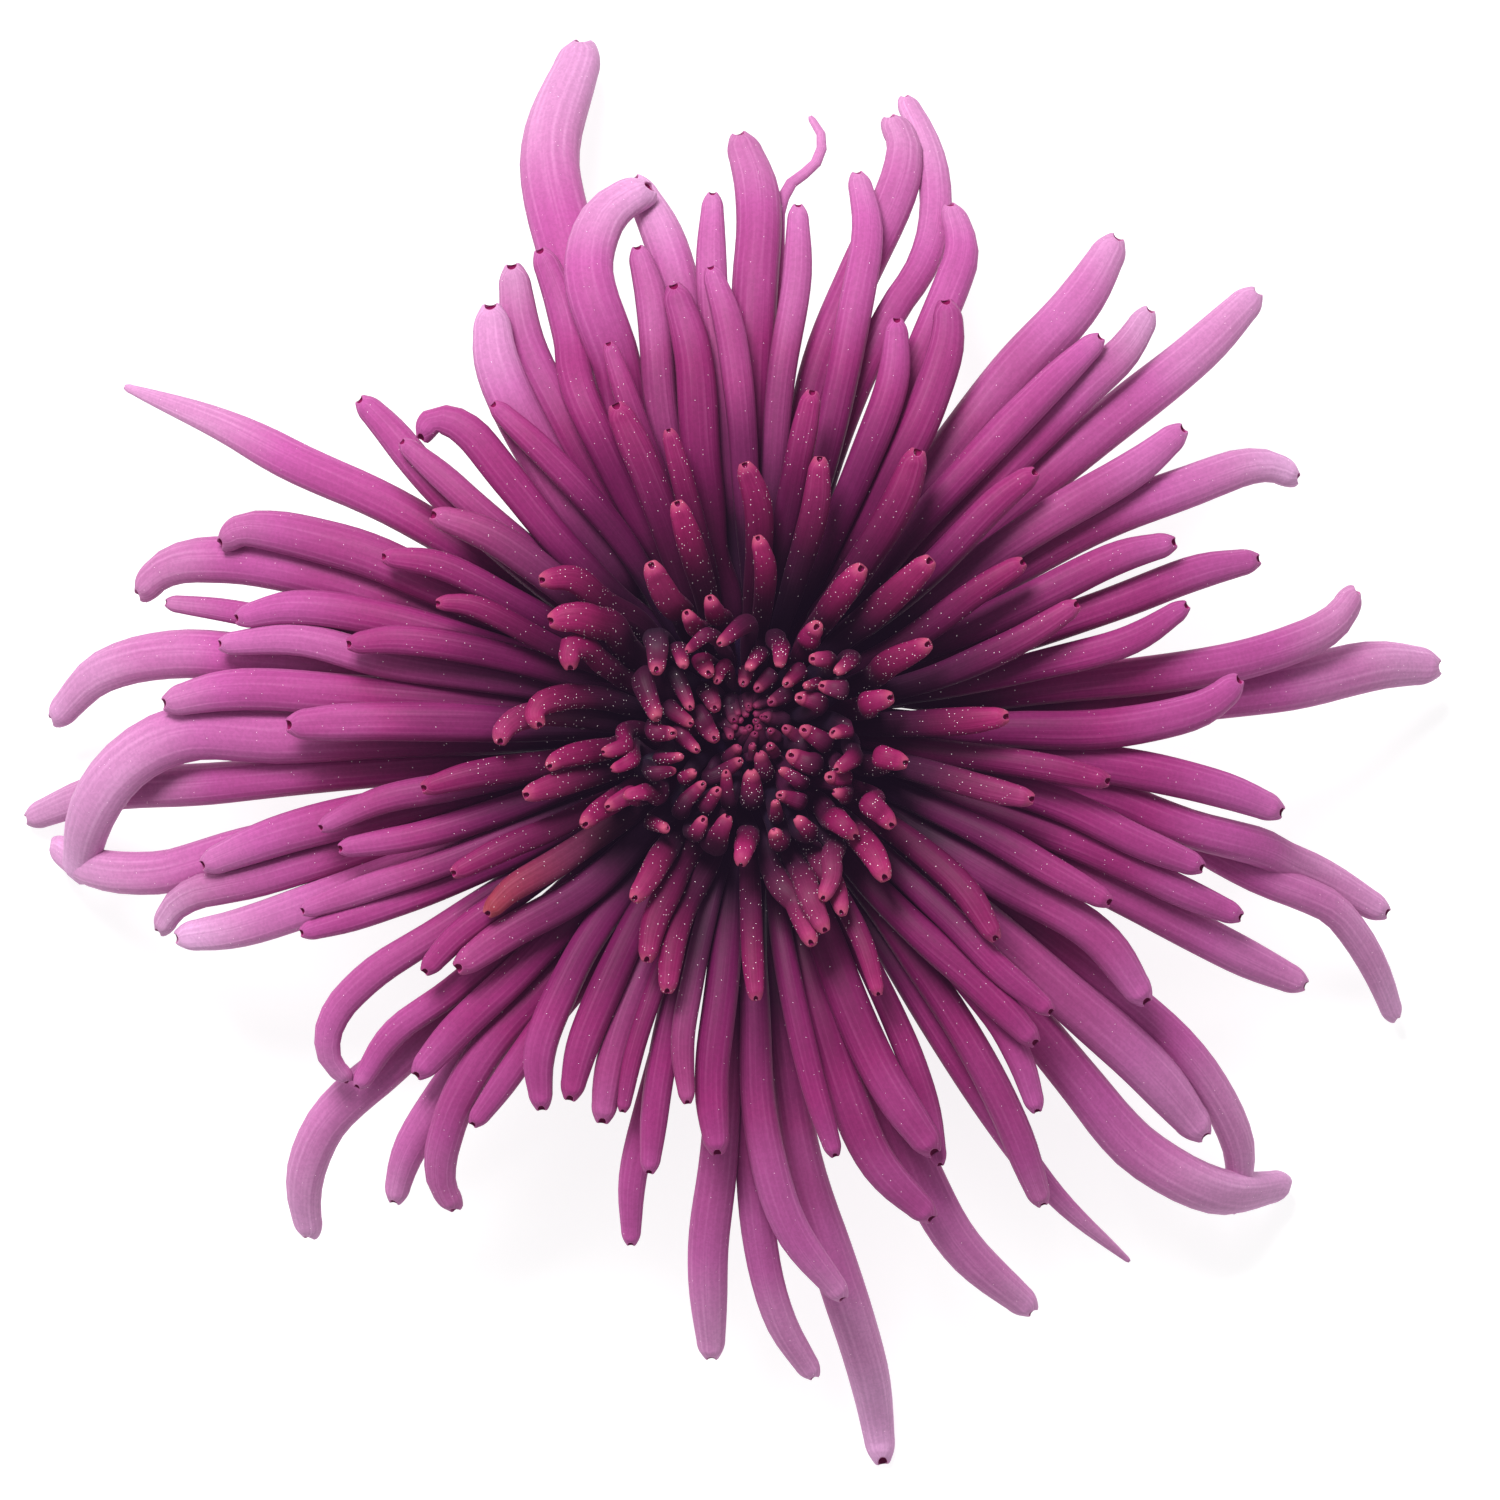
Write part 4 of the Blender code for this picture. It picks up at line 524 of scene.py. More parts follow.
def nestle(paths: list, radii: np.ndarray, young_from: int) -> np.ndarray:
    """Part the quills where they would run into each other, mostly up and down.

    A crossing pair moves apart a little each round, and each quill stays a smooth curve. The
    tips keep their place seen from above, and the roots stay on the head.

    Args:
        paths: Middle lines of all the florets.
        radii: Their radii.
        young_from: Where the centre florets start.

    Returns:
        The middle lines, parted.
    """
    count, samples = radii.shape
    where = np.array(paths)
    share = np.linspace(0.0, 1.0, samples)
    up_weight = np.clip((share - 0.05) / 0.25, 0.0, 1.0)
    side_weight = np.clip((share - 0.03) / 0.2, 0.0, 1.0) * np.clip((0.8 - share) / 0.35, 0.08, 1.0)
    owner = np.repeat(np.arange(count), samples)
    size = radii.reshape(-1)
    for turn in range(NESTLE_ROUNDS):
        points = where.reshape(-1, 3)
        if turn % NESTLE_SEARCH == 0:
            gaps = np.linalg.norm(points[:, None, :] - points[None, :, :], axis=2).astype(np.float32)
            first, second = np.nonzero(np.triu(gaps < NESTLE_NEAR, 1))
            apart = owner[first] != owner[second]
            first = first[apart]
            second = second[apart]
        air = np.where((owner[first] < young_from) != (owner[second] < young_from), NODE_GAP, LIE_GAP)
        need = size[first] + size[second] + air
        across = points[second] - points[first]
        flat = np.hypot(across[:, 0], across[:, 1])
        height = across[:, 2]
        short = np.sqrt(np.maximum(need**2 - flat**2, 0.0)) - np.abs(height)
        touching = (flat < need) & (short > 0.0)
        rise = np.where(height >= 0.0, 1.0, -1.0) * np.minimum(short, NESTLE_STEP) * touching
        overlap = np.maximum(need - np.linalg.norm(across, axis=1), 0.0)
        aside = across[:, :2] / np.maximum(flat, 0.05)[:, None] * overlap[:, None]
        shift = np.zeros_like(points)
        hits = np.ones(len(points))
        for side, index in ((-1.0, first), (1.0, second)):
            np.add.at(shift[:, 2], index, side * 0.5 * rise)
            np.add.at(shift[:, 0], index, side * 0.5 * aside[:, 0])
            np.add.at(shift[:, 1], index, side * 0.5 * aside[:, 1])
            np.add.at(hits, index, touching.astype(float))
        shift = (shift / np.sqrt(hits)[:, None]).reshape(count, samples, 3)
        for _ in range(4):
            padded = np.concatenate((shift[:, :1], shift, shift[:, -1:]), axis=1)
            shift = 0.25 * padded[:, :-2] + 0.5 * padded[:, 1:-1] + 0.25 * padded[:, 2:]
        where[:, :, 2] += NESTLE_EASE * shift[:, :, 2] * up_weight
        where[:, :, :2] += NESTLE_EASE * shift[:, :, :2] * side_weight[None, :, None]
        distance = np.hypot(where[:, :, 0] - HEART[0], where[:, :, 1] - HEART[1])
        where[:, :, 2] = np.maximum(where[:, :, 2], lowest(distance) + radii)
    return where


def linear(colour: str) -> tuple[float, float, float, float]:
    """An sRGB hex colour as linear red, green, blue and alpha.

    Args:
        colour: Six hex digits after a hash sign.

    Returns:
        The four linear values.
    """
    shares = [int(colour[start:start + 2], 16) / 255.0 for start in (1, 3, 5)]
    values = [share / 12.92 if share <= 0.04045 else ((share + 0.055) / 1.055) ** 2.4 for share in shares]
    return (*values, 1.0)


def add_node(
    tree: bpy.types.NodeTree, kind: str, settings: dict | None = None, links: dict | None = None
) -> bpy.types.Node:
    """Add one shader node, set its values and link its inputs.

    Args:
        tree: The material's node tree.
        kind: The node's type name.
        settings: Attributes of the node, or values of its inputs by name or number.
        links: Sockets that feed its inputs, by the input's name or number.

    Returns:
        The new node.
    """
    node = tree.nodes.new(kind)
    for name, value in (settings or {}).items():
        if isinstance(name, str) and hasattr(node, name):
            setattr(node, name, value)
        else:
            node.inputs[name].default_value = value
    for name, source in (links or {}).items():
        tree.links.new(source, node.inputs[name])
    return node


def ramp_stops(node: bpy.types.Node, stops: tuple) -> None:
    """Set a colour ramp's stops.

    Args:
        node: The colour ramp node.
        stops: Pairs of a place from 0 to 1 and an sRGB hex colour.
    """
    elements = node.color_ramp.elements
    while len(elements) < len(stops):
        elements.new(0.5)
    for element, (place, colour) in zip(elements, stops):
        element.position = place
        element.color = linear(colour)


def new_material(name: str) -> tuple[bpy.types.Material, bpy.types.NodeTree, bpy.types.Node]:
    """A material with only its shader and its output.

    Args:
        name: The real material that it stands for.

    Returns:
        The material, its tree and its shader node.
    """
    material = bpy.data.materials.new(name)
    material.use_nodes = True
    tree = material.node_tree
    return material, tree, tree.nodes["Principled BSDF"]


def set_values(shader: bpy.types.Node, values: dict) -> None:
    """Set numbers and colours on a shader's own sockets.

    Args:
        shader: The shader node.
        values: What each socket is set to, by its name.
    """
    for name, value in values.items():
        shader.inputs[name].default_value = value


PETAL_ATTRIBUTES = ("stage", "fade", "lip", "tone", "youth", "dull", "rust", "hollow", "glands")
PETAL_SUMS = (
    # name, operation, held between 0 and 1, then sockets by name or numbers
    ("depth", "MULTIPLY", False, "stage", "stage"),
    ("tone_depth", "MULTIPLY", False, "tone", "depth"),
    ("light", "MULTIPLY", True, "tone_depth", 0.40),
    ("dark", "MULTIPLY", True, "tone", -0.30),
    ("dusk", "MULTIPLY", False, "dull", 0.85),
    # streaks: pale streaks along the veins towards the ends, painted highlights on the petal ridges
    ("streak", "SUBTRACT", False, "veins", 0.50),
    ("streak_depth", "MULTIPLY", False, "streak", "depth"),
    ("streak_highlight", "MULTIPLY", True, "streak_depth", 0.9),
    ("shade", "MULTIPLY", False, "vein_shade", "grain"),
    ("rim", "COMPARE", False, "hollow", 0.5, 0.2),
    ("rim_share", "MULTIPLY", False, "rim", 0.5),
    ("hole", "GREATER_THAN", False, "hollow", 0.75),
    ("dot_size", "MULTIPLY_ADD", False, "youth", 0.04, 0.13),
    ("dot", "LESS_THAN", False, "cell_distance", "dot_size"),
    ("chosen", "LESS_THAN", False, "chance", "glands"),
    ("gland", "MULTIPLY", False, "dot", "chosen"),
    # glands: dots painted near white, partly their own paleness, and given a glow by gland_glow, a painted
    # glint
    ("gland_share", "MULTIPLY", False, "gland", 0.8),
    ("gland_glow", "MULTIPLY", False, "gland", 0.4),
    ("gland_gloss", "MULTIPLY", False, "gland", 0.3),
    ("roughness", "SUBTRACT", False, 0.55, "gland_gloss"),
)


@dataclass(frozen=True)
class PetalFinish:
    """Living petal skin: tiny domed cells give it a soft satin, pigment pales towards the tip.

    Old florets pale with the distance from their root, and go near black towards it: partly darker
    pigment, partly painted shade of the crowded heart. Young ones are crimson at their ends and near
    black below, the dark part being painted shade as much as pigment, and peach at the lips where
    pigment has not formed. Fine oil glands sparkle on the young parts: painted near white and given
    a glow, a painted glint. The painted glow colour is a faint light that the whole skin gives off,
    lifting the shade in the gaps between the petals.
    """

    name: str
    old: tuple
    young: tuple
    lip_colour: str = "#b8586c"
    dull_colour: str = "#2e1428"
    rust_colour: str = "#8a3018"
    hole_colour: str = "#98185e"
    rim_colour: str = "#c05a94"
    light_tone: str = "#d29cc8"
    dark_tone: str = "#6c1044"
    # pale lilac of the painted highlights along the veins
    streak_highlight_colour: str = "#e4bada"
    gland_colour: str = "#fff0f4"
    # painted glow: a faint light the whole skin gives off, lifting the shade in the gaps between the petals
    painted_glow_colour: str = DEEP_GLOW
    sheen_colour: str = "#ffb8e6"
    # real glands stand closer and finer than 0.22 mm: one to such a cell is as fine as shows
    gland_cell_mm: float = 0.22
    # 34 veins round a quill, each changing along it every 14 mm
    vein_scale: tuple = (34.0, 0.07, 1.0)

    def patterns(self, tree: bpy.types.NodeTree) -> dict:
        """Read the florets' attributes and draw the veins, the cells and the sums of them.

        Args:
            tree: The material's tree.

        Returns:
            The sockets, by name.
        """
        socket = {
            name: add_node(tree, "ShaderNodeAttribute", {"attribute_name": name}).outputs["Fac"]
            for name in PETAL_ATTRIBUTES
        }
        place = add_node(tree, "ShaderNodeTexCoord").outputs["Object"]
        sheet = add_node(tree, "ShaderNodeUVMap", {"uv_map": "skin"}).outputs["UV"]
        drawn = add_node(tree, "ShaderNodeMapping", {"Scale": self.vein_scale}, {"Vector": sheet})
        veins = add_node(
            tree, "ShaderNodeTexNoise", {"Scale": 1.0, "Detail": 1.0, "Roughness": 0.6},
            {"Vector": drawn.outputs["Vector"]},
        )
        cells = add_node(
            tree, "ShaderNodeTexVoronoi", {"Scale": 1.0 / (self.gland_cell_mm * MM)}, {"Vector": place}
        )
        random = add_node(tree, "ShaderNodeSeparateColor", {}, {"Color": cells.outputs["Color"]})
        socket.update(
            veins=veins.outputs["Fac"], cell_distance=cells.outputs["Distance"],
            chance=random.outputs[0], cloud=random.outputs[1],
        )
        for name, source, low, high in (
            ("vein_shade", "veins", 0.92, 1.07), ("grain", "cloud", 0.955, 1.045)
        ):
            spread = {"From Min": 0.3, "From Max": 0.7, "To Min": low, "To Max": high}
            node = add_node(tree, "ShaderNodeMapRange", spread, {"Value": socket[source]})
            socket[name] = node.outputs["Result"]
        for name, operation, held, *inputs in PETAL_SUMS:
            settings = {index: value for index, value in enumerate(inputs) if isinstance(value, float)}
            links = {index: socket[value] for index, value in enumerate(inputs) if isinstance(value, str)}
            settings.update(operation=operation, use_clamp=held)
            socket[name] = add_node(tree, "ShaderNodeMath", settings, links).outputs[0]
        return socket

    def lay_over(
        self, tree: bpy.types.NodeTree, colour: bpy.types.NodeSocket, socket: dict, layers: tuple
    ) -> bpy.types.NodeSocket:
        """Lay colours over the skin, each by its share.

        Args:
            tree: The material's tree.
            colour: The colour below.
            socket: The shares, by name.
            layers: Pairs of a share's name and a colour, lowest first.

        Returns:
            The colour above.
        """
        for share, over in layers:
            settings = {"data_type": "RGBA", 7: linear(over)}
            colour = add_node(tree, "ShaderNodeMix", settings, {0: socket[share], 6: colour}).outputs[2]
        return colour

    def material(self) -> bpy.types.Material:
        """Build the petal skin.

        Returns:
            The finished material.
        """
        material, tree, shader = new_material(self.name)
        socket = self.patterns(tree)
        old = add_node(tree, "ShaderNodeValToRGB", {}, {"Fac": socket["stage"]})
        ramp_stops(old, self.old)
        young = add_node(tree, "ShaderNodeValToRGB", {}, {"Fac": socket["fade"]})
        ramp_stops(young, self.young)
        links = {0: socket["youth"], 6: old.outputs["Color"], 7: young.outputs["Color"]}
        colour = add_node(tree, "ShaderNodeMix", {"data_type": "RGBA"}, links).outputs[2]
        colour = self.lay_over(tree, colour, socket, (
            ("light", self.light_tone), ("dark", self.dark_tone), ("dusk", self.dull_colour),
            # painted highlights along the veins
            ("rust", self.rust_colour), ("streak_highlight", self.streak_highlight_colour),
        ))
        grey = add_node(tree, "ShaderNodeCombineColor", {}, {part: socket["shade"] for part in range(3)})
        settings = {"data_type": "RGBA", "blend_type": "MULTIPLY", 0: 1.0}
        colour = add_node(tree, "ShaderNodeMix", settings, {6: colour, 7: grey.outputs["Color"]}).outputs[2]
        colour = self.lay_over(tree, colour, socket, (
            ("lip", self.lip_colour), ("rim_share", self.rim_colour), ("hole", self.hole_colour),
            ("gland_share", self.gland_colour),
        ))
        # emission: the skin's faint painted glow, and the glands' painted glint
        settings = {"data_type": "RGBA", 6: linear(self.painted_glow_colour), 7: linear(self.gland_colour)}
        glow = add_node(tree, "ShaderNodeMix", settings, {0: socket["gland_glow"]}).outputs[2]
        bump = add_node(
            tree, "ShaderNodeBump", {"Strength": 0.35, "Distance": 0.1 * MM}, {"Height": socket["veins"]}
        ).outputs["Normal"]
        tree.links.new(colour, shader.inputs["Base Color"])
        tree.links.new(bump, shader.inputs["Normal"])
        tree.links.new(socket["roughness"], shader.inputs["Roughness"])
        tree.links.new(glow, shader.inputs["Emission Color"])
        set_values(shader, {
            "Emission Strength": 1.0, "IOR": 1.38, "Specular IOR Level": 0.22, "Sheen Weight": 0.03,
            "Sheen Roughness": 0.3, "Sheen Tint": linear(self.sheen_colour),
        })
        material.cycles.emission_sampling = "NONE"
        return material


@dataclass(frozen=True)
class GreenFinish:
    """Green stalk and bract skin: fine fibres along it, matt and slightly waxy."""

    name: str
    low: str
    high: str
    pale: str
    fibre_mm: float = 0.25             # real fibres are finer: drawn this coarse to show
    shine: float = 0.4
    # painted glow: a faint light the skin gives off; black gives none
    painted_glow: str = "#000000"
    stretch: tuple = (1.0, 1.0, 0.12)  # a fibre is eight times as long as wide

    def material(self) -> bpy.types.Material:
        """Build the green skin, paler where the attribute of that name is high.

        Returns:
            The finished material.
        """
        material, tree, shader = new_material(self.name)
        place = add_node(tree, "ShaderNodeTexCoord").outputs["Object"]
        drawn = add_node(tree, "ShaderNodeMapping", {"Scale": self.stretch}, {"Vector": place})
        fibre = add_node(
            tree, "ShaderNodeTexNoise", {"Scale": 0.25 / (self.fibre_mm * MM), "Detail": 3.0},
            {"Vector": drawn.outputs["Vector"]},
        ).outputs["Fac"]
        ramp = add_node(tree, "ShaderNodeValToRGB", {}, {"Fac": fibre})
        ramp_stops(ramp, ((0.3, self.low), (0.72, self.high)))
        pale = add_node(tree, "ShaderNodeAttribute", {"attribute_name": "pale"}).outputs["Fac"]
        settings = {"data_type": "RGBA", 7: linear(self.pale)}
        colour = add_node(tree, "ShaderNodeMix", settings, {0: pale, 6: ramp.outputs["Color"]}).outputs[2]
        bump = add_node(
            tree, "ShaderNodeBump", {"Strength": 0.4, "Distance": 0.1 * MM}, {"Height": fibre}
        ).outputs["Normal"]
        tree.links.new(colour, shader.inputs["Base Color"])
        tree.links.new(bump, shader.inputs["Normal"])
        set_values(shader, {
            "Roughness": 0.55, "IOR": 1.45, "Specular IOR Level": self.shine,
            "Emission Color": linear(self.painted_glow), "Emission Strength": 1.0,
            "Subsurface Weight": 0.12, "Subsurface Radius": (0.5, 0.8, 0.3), "Subsurface Scale": MM,
        })
        material.cycles.emission_sampling = "NONE"
        return material


@dataclass
class QuillPattern:
    """One straight quill of unit size, modelled and then bent along every floret.

    Its sides run from 0 at the root to 1 at the lip. The last nine rings are the rounded nose, and
    the mouth goes back into the quill as a narrowing well: each pair is how far a ring of it is
    inset, and how far that ring is sunk.
    """

    sides: int = 20
    rings: int = 40
    nose: float = 0.225
    mouth: tuple = ((0.14, 0.0), (0.16, -0.012), (0.12, -0.04), (0.14, -0.06), (0.2, -0.03))
    corners: np.ndarray = field(default_factory=lambda: np.zeros((0, 3)))
    faces: list = field(default_factory=list)
    hollow: np.ndarray = field(default_factory=lambda: np.zeros(0))

    def model(self) -> "QuillPattern":
        """Model the quill with a cylinder, ring cuts, an inset lip and an extruded well.

        Returns:
            The pattern itself, with its corners and faces filled in.
        """
        bpy.ops.object.select_all(action="DESELECT")
        bpy.ops.mesh.primitive_cylinder_add(
            vertices=self.sides, radius=1.0, depth=1.0, end_fill_type="NGON", location=(0, 0, 0.5)
        )
        quill = bpy.context.object
        bpy.ops.object.transform_apply(location=True)
        bpy.ops.object.mode_set(mode="EDIT")
        bpy.ops.mesh.select_mode(type="EDGE")
        bpy.ops.mesh.select_all(action="DESELECT")
        shape = bmesh.from_edit_mesh(quill.data)
        for edge in shape.edges:
            if abs(edge.verts[0].co.z - edge.verts[1].co.z) > 0.5:
                edge.select = True
        bmesh.update_edit_mesh(quill.data)
        bpy.ops.mesh.subdivide(number_cuts=self.rings - 1, quadcorner="STRAIGHT_CUT")
        bpy.ops.mesh.select_mode(type="FACE")
        bpy.ops.mesh.select_all(action="DESELECT")
        shape = bmesh.from_edit_mesh(quill.data)
        for face in shape.faces:
            if face.calc_center_median().z > 0.999:
                face.select = True
        bmesh.update_edit_mesh(quill.data)
        for inset, sink in self.mouth:
            bpy.ops.mesh.inset(thickness=inset, depth=0.0, use_even_offset=False)
            bpy.ops.transform.translate(value=(0.0, 0.0, sink))
        bpy.ops.object.mode_set(mode="OBJECT")
        mesh = quill.data
        self.corners = np.array([vert.co[:] for vert in mesh.vertices])
        self.faces = [tuple(face.vertices) for face in mesh.polygons]
        radial = np.hypot(self.corners[:, 0], self.corners[:, 1])
        self.hollow = np.where(radial > 0.95, 0.0, np.where(radial > 0.68, 0.5, 1.0))
        self.hollow[self.corners[:, 2] < 0.001] = 0.0
        bpy.data.objects.remove(quill)
        return self


@dataclass
class Bloom:
    """Middle lines and sizes of all the florets, nestled together as on the solids."""

    paths: np.ndarray = field(default_factory=lambda: np.zeros(0))
    reach: list = field(default_factory=list)

    def lay(self) -> "Bloom":
        """Work out every middle line.

        Returns:
            The bloom itself, with its paths filled in.
        """
        self.reach = [float(np.linalg.norm(np.array(ray.tip) - HEART)) for ray in RAYS]
        order = np.argsort(np.argsort(self.reach))
        paths = [ray_path(ray, order[index] / len(RAYS)) for index, ray in enumerate(RAYS)]
        share = np.linspace(0.0, 1.0, PATH_SAMPLES)
        radii = [quill_radius(ray.form, ray.width, share) for ray in RAYS]
        paths += [young_path(young) for young in CENTRE]
        radii += [quill_radius(Form.YOUNG, young.width, share) for young in CENTRE]
        self.paths = nestle(paths, np.array(radii), len(RAYS))
        return self


def soft_profile(form: Form, share: np.ndarray) -> np.ndarray:
    """A quill's width along its length, without the corners of the solid's.

    Args:
        form: The quill's form.
        share: Places along it, from 0 to 1.

    Returns:
        Shares of its greatest half width.
    """
    fine = np.linspace(0.0, 1.0, 201)
    values = np.interp(fine, PROFILE_PLACES, form.value)
    if form is Form.YOUNG:
        values = values * YOUNG_FULLNESS
    elif form in (Form.QUILL, Form.BLUNT):
        blade = np.interp(fine, (0.0, 0.45, 0.70, 0.86, 0.94, 1.0), (0.0, 0.90, 1.0, 0.95, 0.78, 0.60))
        values = np.maximum(values, blade) * 1.05
    kernel = np.hanning(27)
    padded = np.pad(values, 13, mode="reflect", reflect_type="odd")
    smooth = np.convolve(padded, kernel / kernel.sum(), mode="valid")
    return np.interp(share, fine, smooth)


def frames(path: np.ndarray) -> tuple[np.ndarray, np.ndarray, np.ndarray]:
    """A fine middle line with its side and its upper side, carried along it without twisting.

    Args:
        path: The floret's middle line.

    Returns:
        Points, side directions and upper directions.
    """
    points = spline(path, 121)
    tangents = np.gradient(points, axis=0)
    tangents /= np.linalg.norm(tangents, axis=1)[:, None]
    start = int(np.argmin(np.abs(tangents[:, 2])))
    upper = np.zeros_like(points)
    level = np.array((0.0, 0.0, 1.0)) - tangents[start] * tangents[start, 2]
    upper[start] = level / np.linalg.norm(level)
    for order in (range(start + 1, len(points)), range(start - 1, -1, -1)):
        before = start
        for index in order:
            carried = upper[before] - tangents[index] * np.dot(upper[before], tangents[index])
            upper[index] = carried / np.linalg.norm(carried)
            before = index
    return points, np.cross(tangents, upper), upper


@dataclass(frozen=True)
class Skin:
    """How one floret's skin differs from its neighbours'."""

    youth: float = 0.0      # 0 for an old outer floret, 1 for the youngest
    fade_mm: float = 7.0    # how far back from the lips a young floret's colour goes dark, partly pigment and partly painted shade
    dull: float = 0.0       # share of the dusky colour of the innermost florets
    bleach: float = 0.0     # how much paler than others its end is
    rust: float = 0.0       # how far its end has browned


@dataclass
class FloretSet:
    """Florets of one age joined in one piece: each the pattern bent along its own middle line."""

    name: str
    node: str
    slot: str
    pattern: QuillPattern
    flatness: float = 0.80         # height of a quill's section against its width
    nose_turn: float = 69.0        # degrees that an old quill's nose closes through
    young_nose_turn: float = 72.0
    nose_rise: float = 0.72        # how far the nose closes towards its upper side
    lip_tilt: float = 1.5          # how far the mouth is turned upwards
    swell: float = 0.022           # slow swellings along a quill
    rib: float = 0.016             # depth of the six ribs along it
    groove: float = 0.14           # deepest furrow along its upper side
    corners: list = field(default_factory=list)
    faces: list = field(default_factory=list)
    values: dict = field(default_factory=lambda: {name: [] for name in PETAL_ATTRIBUTES})
    sheet: list = field(default_factory=list)

    def bend(
        self, path: np.ndarray, width: float, form: Form, youth: float, rng: np.random.Generator
    ) -> tuple[np.ndarray, np.ndarray, float]:
        """Bend the pattern along a middle line, with its own girth, nose, ribs and furrow.

        Args:
            path: The middle line.
            width: The quill's greatest width.
            form: How its width runs.
            youth: 0 for an old outer floret, 1 for the youngest.
            rng: Source of the small differences between florets.

        Returns:
            The quill's corners, how far along it each is from 0 to 1, and its length.
        """
        points, side, upper = frames(path)
        length = float(np.linalg.norm(np.diff(points, axis=0), axis=1).sum())
        unit = self.pattern.corners
        cut = 1.0 - self.pattern.nose
        nose = min(0.8 * width * float(soft_profile(form, np.array(0.95))) / length, 0.3)
        angle = np.arctan2(unit[:, 1], unit[:, 0])
        radial = np.hypot(unit[:, 0], unit[:, 1])
        closing = np.clip((unit[:, 2] - cut) / self.pattern.nose, 0.0, 1.0)
        turn = closing * math.radians(self.young_nose_turn if youth > 0.5 else self.nose_turn)
        share = np.where(
            unit[:, 2] < cut, unit[:, 2] / cut * (1.0 - nose), 1.0 - nose + nose * np.sin(turn)
        )
        wave = 1.0 + self.swell * np.sin(share * rng.uniform(9.0, 16.0) + rng.uniform(0, 6.3))
        body = 0.5 * width * soft_profile(form, np.minimum(share, 1.0 - nose)) * wave
        ring = body * np.cos(turn)
        ribs = 1.0 + self.rib * np.cos(6.0 * angle + rng.uniform(0, 6.3)) * np.clip(share * 4.0, 0.0, 1.0)
        furrow = rng.uniform(0.0, self.groove) * np.exp(-(((angle - math.pi / 2) / 0.4) ** 2))
        radius = ring * radial * ribs * (1.0 - furrow * (1.0 - closing))
        tilt = radius * np.sin(angle) * closing**2 * self.lip_tilt
        along = np.clip(share - tilt / length, 0.0, 1.0)
        knots = np.linspace(0.0, 1.0, len(points))
        middle, across, above = (
            np.stack([np.interp(along, knots, line[:, axis]) for axis in range(3)], axis=1)
            for line in (points, side, upper)
        )
        flat = self.flatness + (1.0 - self.flatness) * closing
        rise = radius * flat * np.sin(angle) + (body - ring) * self.flatness * self.nose_rise
        corners = middle - across * (radius * np.cos(angle))[:, None] + above * rise[:, None]
        return corners, along, length

    def add(
        self, path: np.ndarray, width: float, form: Form, skin: Skin, rng: np.random.Generator
    ) -> None:
        """Bend one quill along a middle line, and keep its corners and its colouring.

        Args:
            path: The middle line.
            width: The quill's greatest width.
            form: How its width runs.
            skin: How its skin differs.
            rng: Source of the small differences between florets.
        """
        corners, along, length = self.bend(path, width, form, skin.youth, rng)
        start = sum(len(block) for block in self.corners)
        self.corners.append(corners)
        self.faces.extend(tuple(start + corner for corner in face) for face in self.pattern.faces)
        unit = self.pattern.corners
        size = len(unit)
        angle = np.arctan2(unit[:, 1], unit[:, 0])
        from_root = along * length
        from_tip = (1.0 - along) * length
        cloud = 0.025 * np.sin(from_root * rng.uniform(0.3, 0.8) + 2.0 * np.sin(angle) + rng.uniform(0, 6.3))
        lip_mm = 0.35 + 0.2 * skin.youth
        lip = skin.youth * np.exp(-((from_tip / lip_mm) ** 2)) * 0.6 * (1.0 - 0.85 * skin.dull)
        outer_side = 0.6 - 0.4 * np.sin(angle)
        glands = 0.04 + 0.95 * skin.youth * outer_side * np.clip(0.3 + from_tip / 2.5, 0.0, 1.0)
        lit = np.clip(1.5 - 2.2 * from_tip / skin.fade_mm, 0.0, 1.0) if skin.youth > 0.0 else 1.0
        colouring = {
            # stage and fade turn the colour near black towards the root: partly pigment, partly painted
            # shade
            "stage": from_root / LONGEST_REACH + skin.bleach * np.exp(-from_tip / 7.0) + cloud,
            "fade": np.maximum(from_tip / skin.fade_mm + cloud, 0.0),
            "lip": lip,
            "tone": np.full(size, rng.uniform(-1.0, 1.0)),
            "youth": np.full(size, skin.youth),
            "dull": skin.dull * np.clip(0.55 + from_tip / 1.2, 0.0, 1.0),
            "rust": skin.rust * np.exp(-from_tip / 5.0),
            "hollow": self.pattern.hollow,
            "glands": glands * lit * (1.0 - 0.8 * skin.dull),
        }
        for name, value in colouring.items():
            self.values[name].append(value)
        around = (angle / (2.0 * math.pi) + 0.75) % 1.0
        self.sheet.append(np.stack((around, from_root), axis=1))

    def piece(self, material: bpy.types.Material) -> bpy.types.Object:
        """Make the one mesh of all the florets added so far.

        Args:
            material: Their finish.

        Returns:
            The new object, riding on the root and replacing its solid.
        """
        corners = np.concatenate(self.corners) * MM
